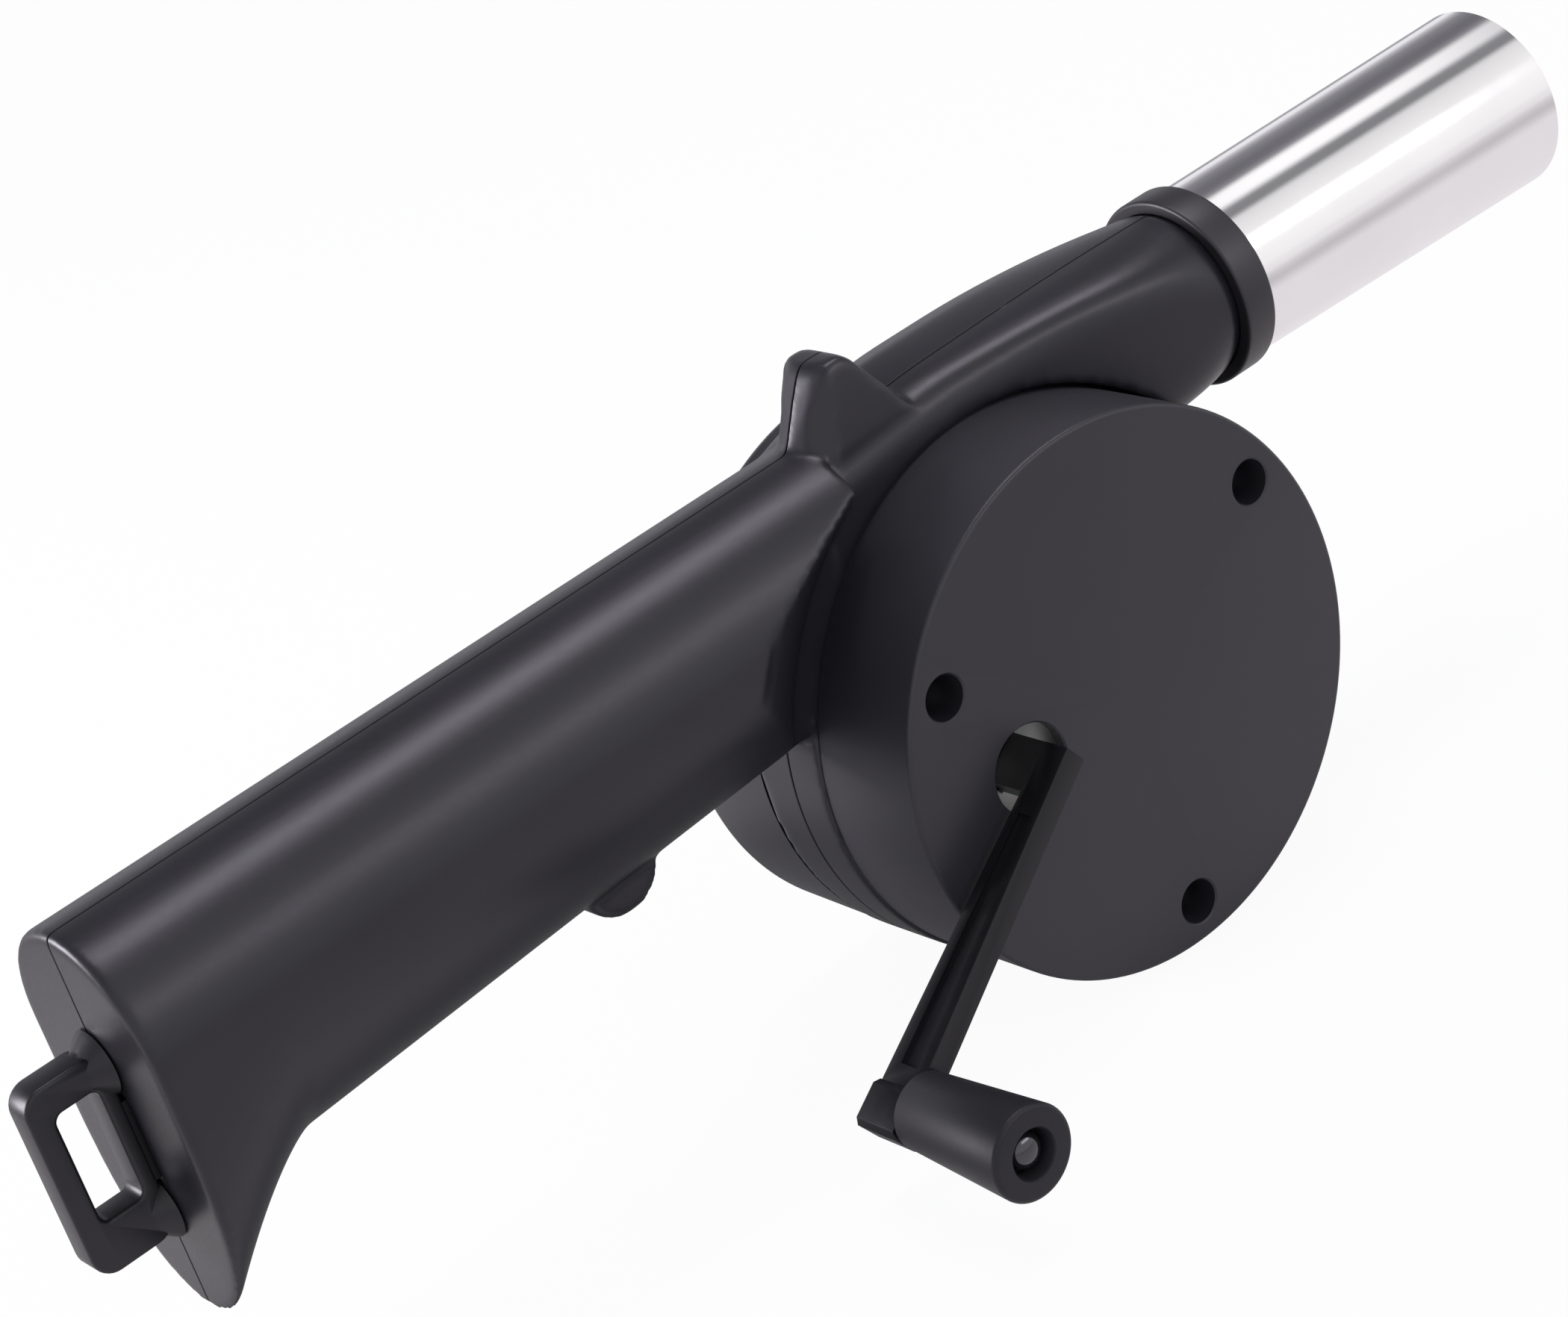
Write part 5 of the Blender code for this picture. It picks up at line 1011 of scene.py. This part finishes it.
# Crank arm. A bar of glossy black nylon with a groove along each side. One end turns in through the
# cover's hole as a tang that keys into the crank gear, the other is a block that holds the knob's screw.
# Its places U run along the bar from the crank's axis.
CRANK_DEGREES = 34.3
THROW = 48.8 * MM
ARM_U = (-3.8 * MM, 49.3 * MM)
ARM_Y = (-9.5 * MM, -1.9 * MM)
ARM_HALF = 1.9 * MM
ARM_TAPER = 3.0 * MM
ARM_EDGE = 0.3 * MM
END_U = (47.3 * MM, 54.3 * MM)
END_HALF = 3.1 * MM
END_NIP = 0.9 * MM
TANG_Y = 9.8 * MM
TANG_INSET = 0.02 * MM
TANG_OVERLAP = 1.0 * MM
GROOVE_U = (6.8 * MM, 44.3 * MM)
GROOVE_DEPTH = 0.6 * MM
GROOVE_HALF = 1.8 * MM
ARM_HOLE = 2.2 * MM
ARM_CUT_SPARE = 1.0 * MM
crank_turn = Matrix.Rotation(-math.radians(180.0 + CRANK_DEGREES), 4, "Y")
crank_place = Matrix.Translation((CRANK_X, 0.0, 0.0)) @ crank_turn

arm = brick("crank_arm_bar", ARM_U, ARM_Y, (-ARM_HALF, ARM_HALF))
bm = bmesh.new()
verts = block(bm, (END_U[0], ARM_Y[0], -END_HALF), (END_U[1], ARM_Y[1], END_HALF))
edges = {edge for vert in verts for edge in vert.link_edges}
upright = [edge for edge in edges if abs(edge.verts[0].co.y - edge.verts[1].co.y) > 1 * MM]
bmesh.ops.bevel(bm, geom=upright, offset=END_NIP, segments=1, profile=0.5, affect="EDGES", material=-1)
tools = [("UNION", solid("arm_end_block", bm))]
tang_u = (ARM_U[0] + TANG_INSET, -ARM_U[0])
tang_z = (TANG_INSET - ARM_HALF, ARM_HALF - TANG_INSET)
tools.append(("UNION", brick("tang", tang_u, (ARM_Y[1] - TANG_OVERLAP, TANG_Y), tang_z)))
middle = (ARM_Y[0] + ARM_Y[1]) / 2
groove_y = (middle - GROOVE_HALF, middle + GROOVE_HALF)
for side in (-1, 1):
    depth = sorted((side * (ARM_HALF - GROOVE_DEPTH), side * (ARM_HALF + ARM_CUT_SPARE)))
    tools.append(("DIFFERENCE", brick(f"arm_groove_{side}", GROOVE_U, groove_y, depth)))
hole_y = (ARM_Y[0] - ARM_CUT_SPARE, ARM_Y[1] + ARM_CUT_SPARE)
tools.append(("DIFFERENCE", bar("arm_hole", ARM_HOLE, *hole_y, THROW, 0.0, 64)))
combine(arm, tools)
soften(arm, ARM_EDGE, 40.0)
for vert in arm.data.vertices:
    share = max(0.0, 1.0 - vert.co.x / END_U[0]) * max(0.0, (ARM_Y[1] - vert.co.y) / (ARM_Y[1] - ARM_Y[0]))
    vert.co.y += ARM_TAPER * min(1.0, share)
arm.data.transform(crank_place)
# Glossy black nylon: a smooth skin with a soft mottle of 2 mm.
nylon_arm = moulded("glossy_black_nylon", "#0b0b0e", "#101013", 0.32, 2.0 * MM, 0.32)
finish_piece(arm, nylon_arm, "crank", "crank_arm")


# Crank knob and its screw. A tapered black ABS grip that spins on a shouldered screw, whose glossy domed
# head sits in the recess of the knob's end.
KNOB_Y = (-32.0 * MM, -9.8 * MM)
KNOB_BASE = 5.5 * MM
KNOB_BASE_NIP = 0.4 * MM
KNOB_END = 6.8 * MM
KNOB_EDGE = 0.8 * MM
KNOB_BORE = 2.2 * MM
RECESS_RADIUS = 3.5 * MM
RECESS_Y = -28.7 * MM
RECESS_TAPER = 0.3 * MM
RECESS_MOUTH = (0.25 * MM, 0.3 * MM)
DOME_RADIUS = 2.8 * MM
DOME_RISE = 2.2 * MM
DOME_SKIRT = 0.4 * MM
DOME_STEPS = 8
KNOB_SHANK = 1.9 * MM
KNOB_SHANK_END_Y = -3.5 * MM
knob_centre = crank_place @ Vector((THROW, 0.0, 0.0))

outline = [(RECESS_RADIUS + RECESS_MOUTH[0], KNOB_Y[0])]
outline += arc((KNOB_END - KNOB_EDGE, KNOB_Y[0] + KNOB_EDGE), KNOB_EDGE, -90.0, 0.0)
outline += [(KNOB_BASE, KNOB_Y[1] - KNOB_BASE_NIP), (KNOB_BASE - KNOB_BASE_NIP, KNOB_Y[1])]
outline += [(KNOB_BORE, KNOB_Y[1]), (KNOB_BORE, RECESS_Y), (RECESS_RADIUS - RECESS_TAPER, RECESS_Y)]
outline += [(RECESS_RADIUS, KNOB_Y[0] + RECESS_MOUTH[1])]
knob = turned("crank_knob_grip", outline, knob_centre, along_y, 96, closed=True)
# The knob's ABS is from a plainer tool: a duller black with an even grain of 0.8 mm.
knob_black = moulded("dull_black_abs", "#19181c", "#1d1c21", 0.5, 0.8 * MM, 0.32)
finish_piece(knob, knob_black, "knob", "crank_knob", 50.0)

seat = RECESS_Y - SEAT_GAP
outline = []
for i in range(DOME_STEPS + 1):
    turn = math.radians(90.0 * i / DOME_STEPS)
    outline.append((DOME_RADIUS * math.sin(turn), seat - DOME_SKIRT - DOME_RISE * math.cos(turn)))
outline += [(DOME_RADIUS, seat), (KNOB_SHANK, seat), (KNOB_SHANK, KNOB_SHANK_END_Y), (0.0, KNOB_SHANK_END_Y)]
knob_screw = turned("knob_screw_dome", outline, knob_centre, along_y, 64)
# Black oxide on a polished dome: dark, glossy and slightly blue, with faint handling marks of 0.8 mm.
oxide = moulded("black_oxide_steel", "#101013", "#17171b", 0.14, 0.8 * MM, 0.9)
finish_piece(knob_screw, oxide, "crank", "knob_screw", 50.0)


# Gear train and fan. Hobbed and moulded white nylon gears on plated pins, a black ABS impeller on a steel
# shaft with a nut, and sintered bronze bushes. They keep the shapes of the frame.
nylon, tree, shader, here = new_finish("natural_white_nylon")
# Natural nylon is milky, with a faint mottle of 4 mm and a sheen made uneven by grease
milk = add_node(tree, "ShaderNodeTexNoise", {"Vector": here, "Scale": 1 / (4 * MM), "Detail": 3.0})
tones = add_node(tree, "ShaderNodeValToRGB", {0: milk.outputs["Fac"]})
fill_ramp(tones.color_ramp, ((0.0, "#e9e7e2"), (1.0, "#f4f2ee")))
sheen = add_node(tree, "ShaderNodeMapRange", {"Value": milk.outputs["Fac"], "To Min": 0.3, "To Max": 0.5})
set_inputs(tree, shader, {"Base Color": tones.outputs[0], "Roughness": sheen.outputs[0], "IOR": PLASTIC_IOR})
set_inputs(tree, shader, {"Subsurface Weight": 0.15, "Subsurface Scale": 1.5 * MM})

bronze, tree, shader, here = new_finish("sintered_bronze")
# Sintered bronze is porous: pores of 0.2 mm, dark with oil
pores = add_node(tree, "ShaderNodeTexVoronoi", {"Vector": here, "Scale": 1 / (0.2 * MM)})
distance = pores.outputs["Distance"]
tones = add_node(tree, "ShaderNodeValToRGB", {0: distance})
fill_ramp(tones.color_ramp, ((0.0, "#7a5526"), (1.0, "#bf8d4a")))
sheen = add_node(tree, "ShaderNodeMapRange", {"Value": distance, "To Min": 0.5, "To Max": 0.35})
set_inputs(tree, shader, {"Metallic": 1.0, "Base Color": tones.outputs[0], "Roughness": sheen.outputs[0]})

inner_finishes = (
    (nylon, ("crank_gear", "idler_gear", "fan_pinion")),
    (zinc, ("crank_pin", "idler_pin", "fan_shaft", "impeller_nut")),
    (abs_black, ("impeller",)),
    (bronze, ("gear_side_bush", "inlet_side_bush")),
)
for finish, names in inner_finishes:
    for name in names:
        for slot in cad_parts[name].material_slots:
            slot.material = finish
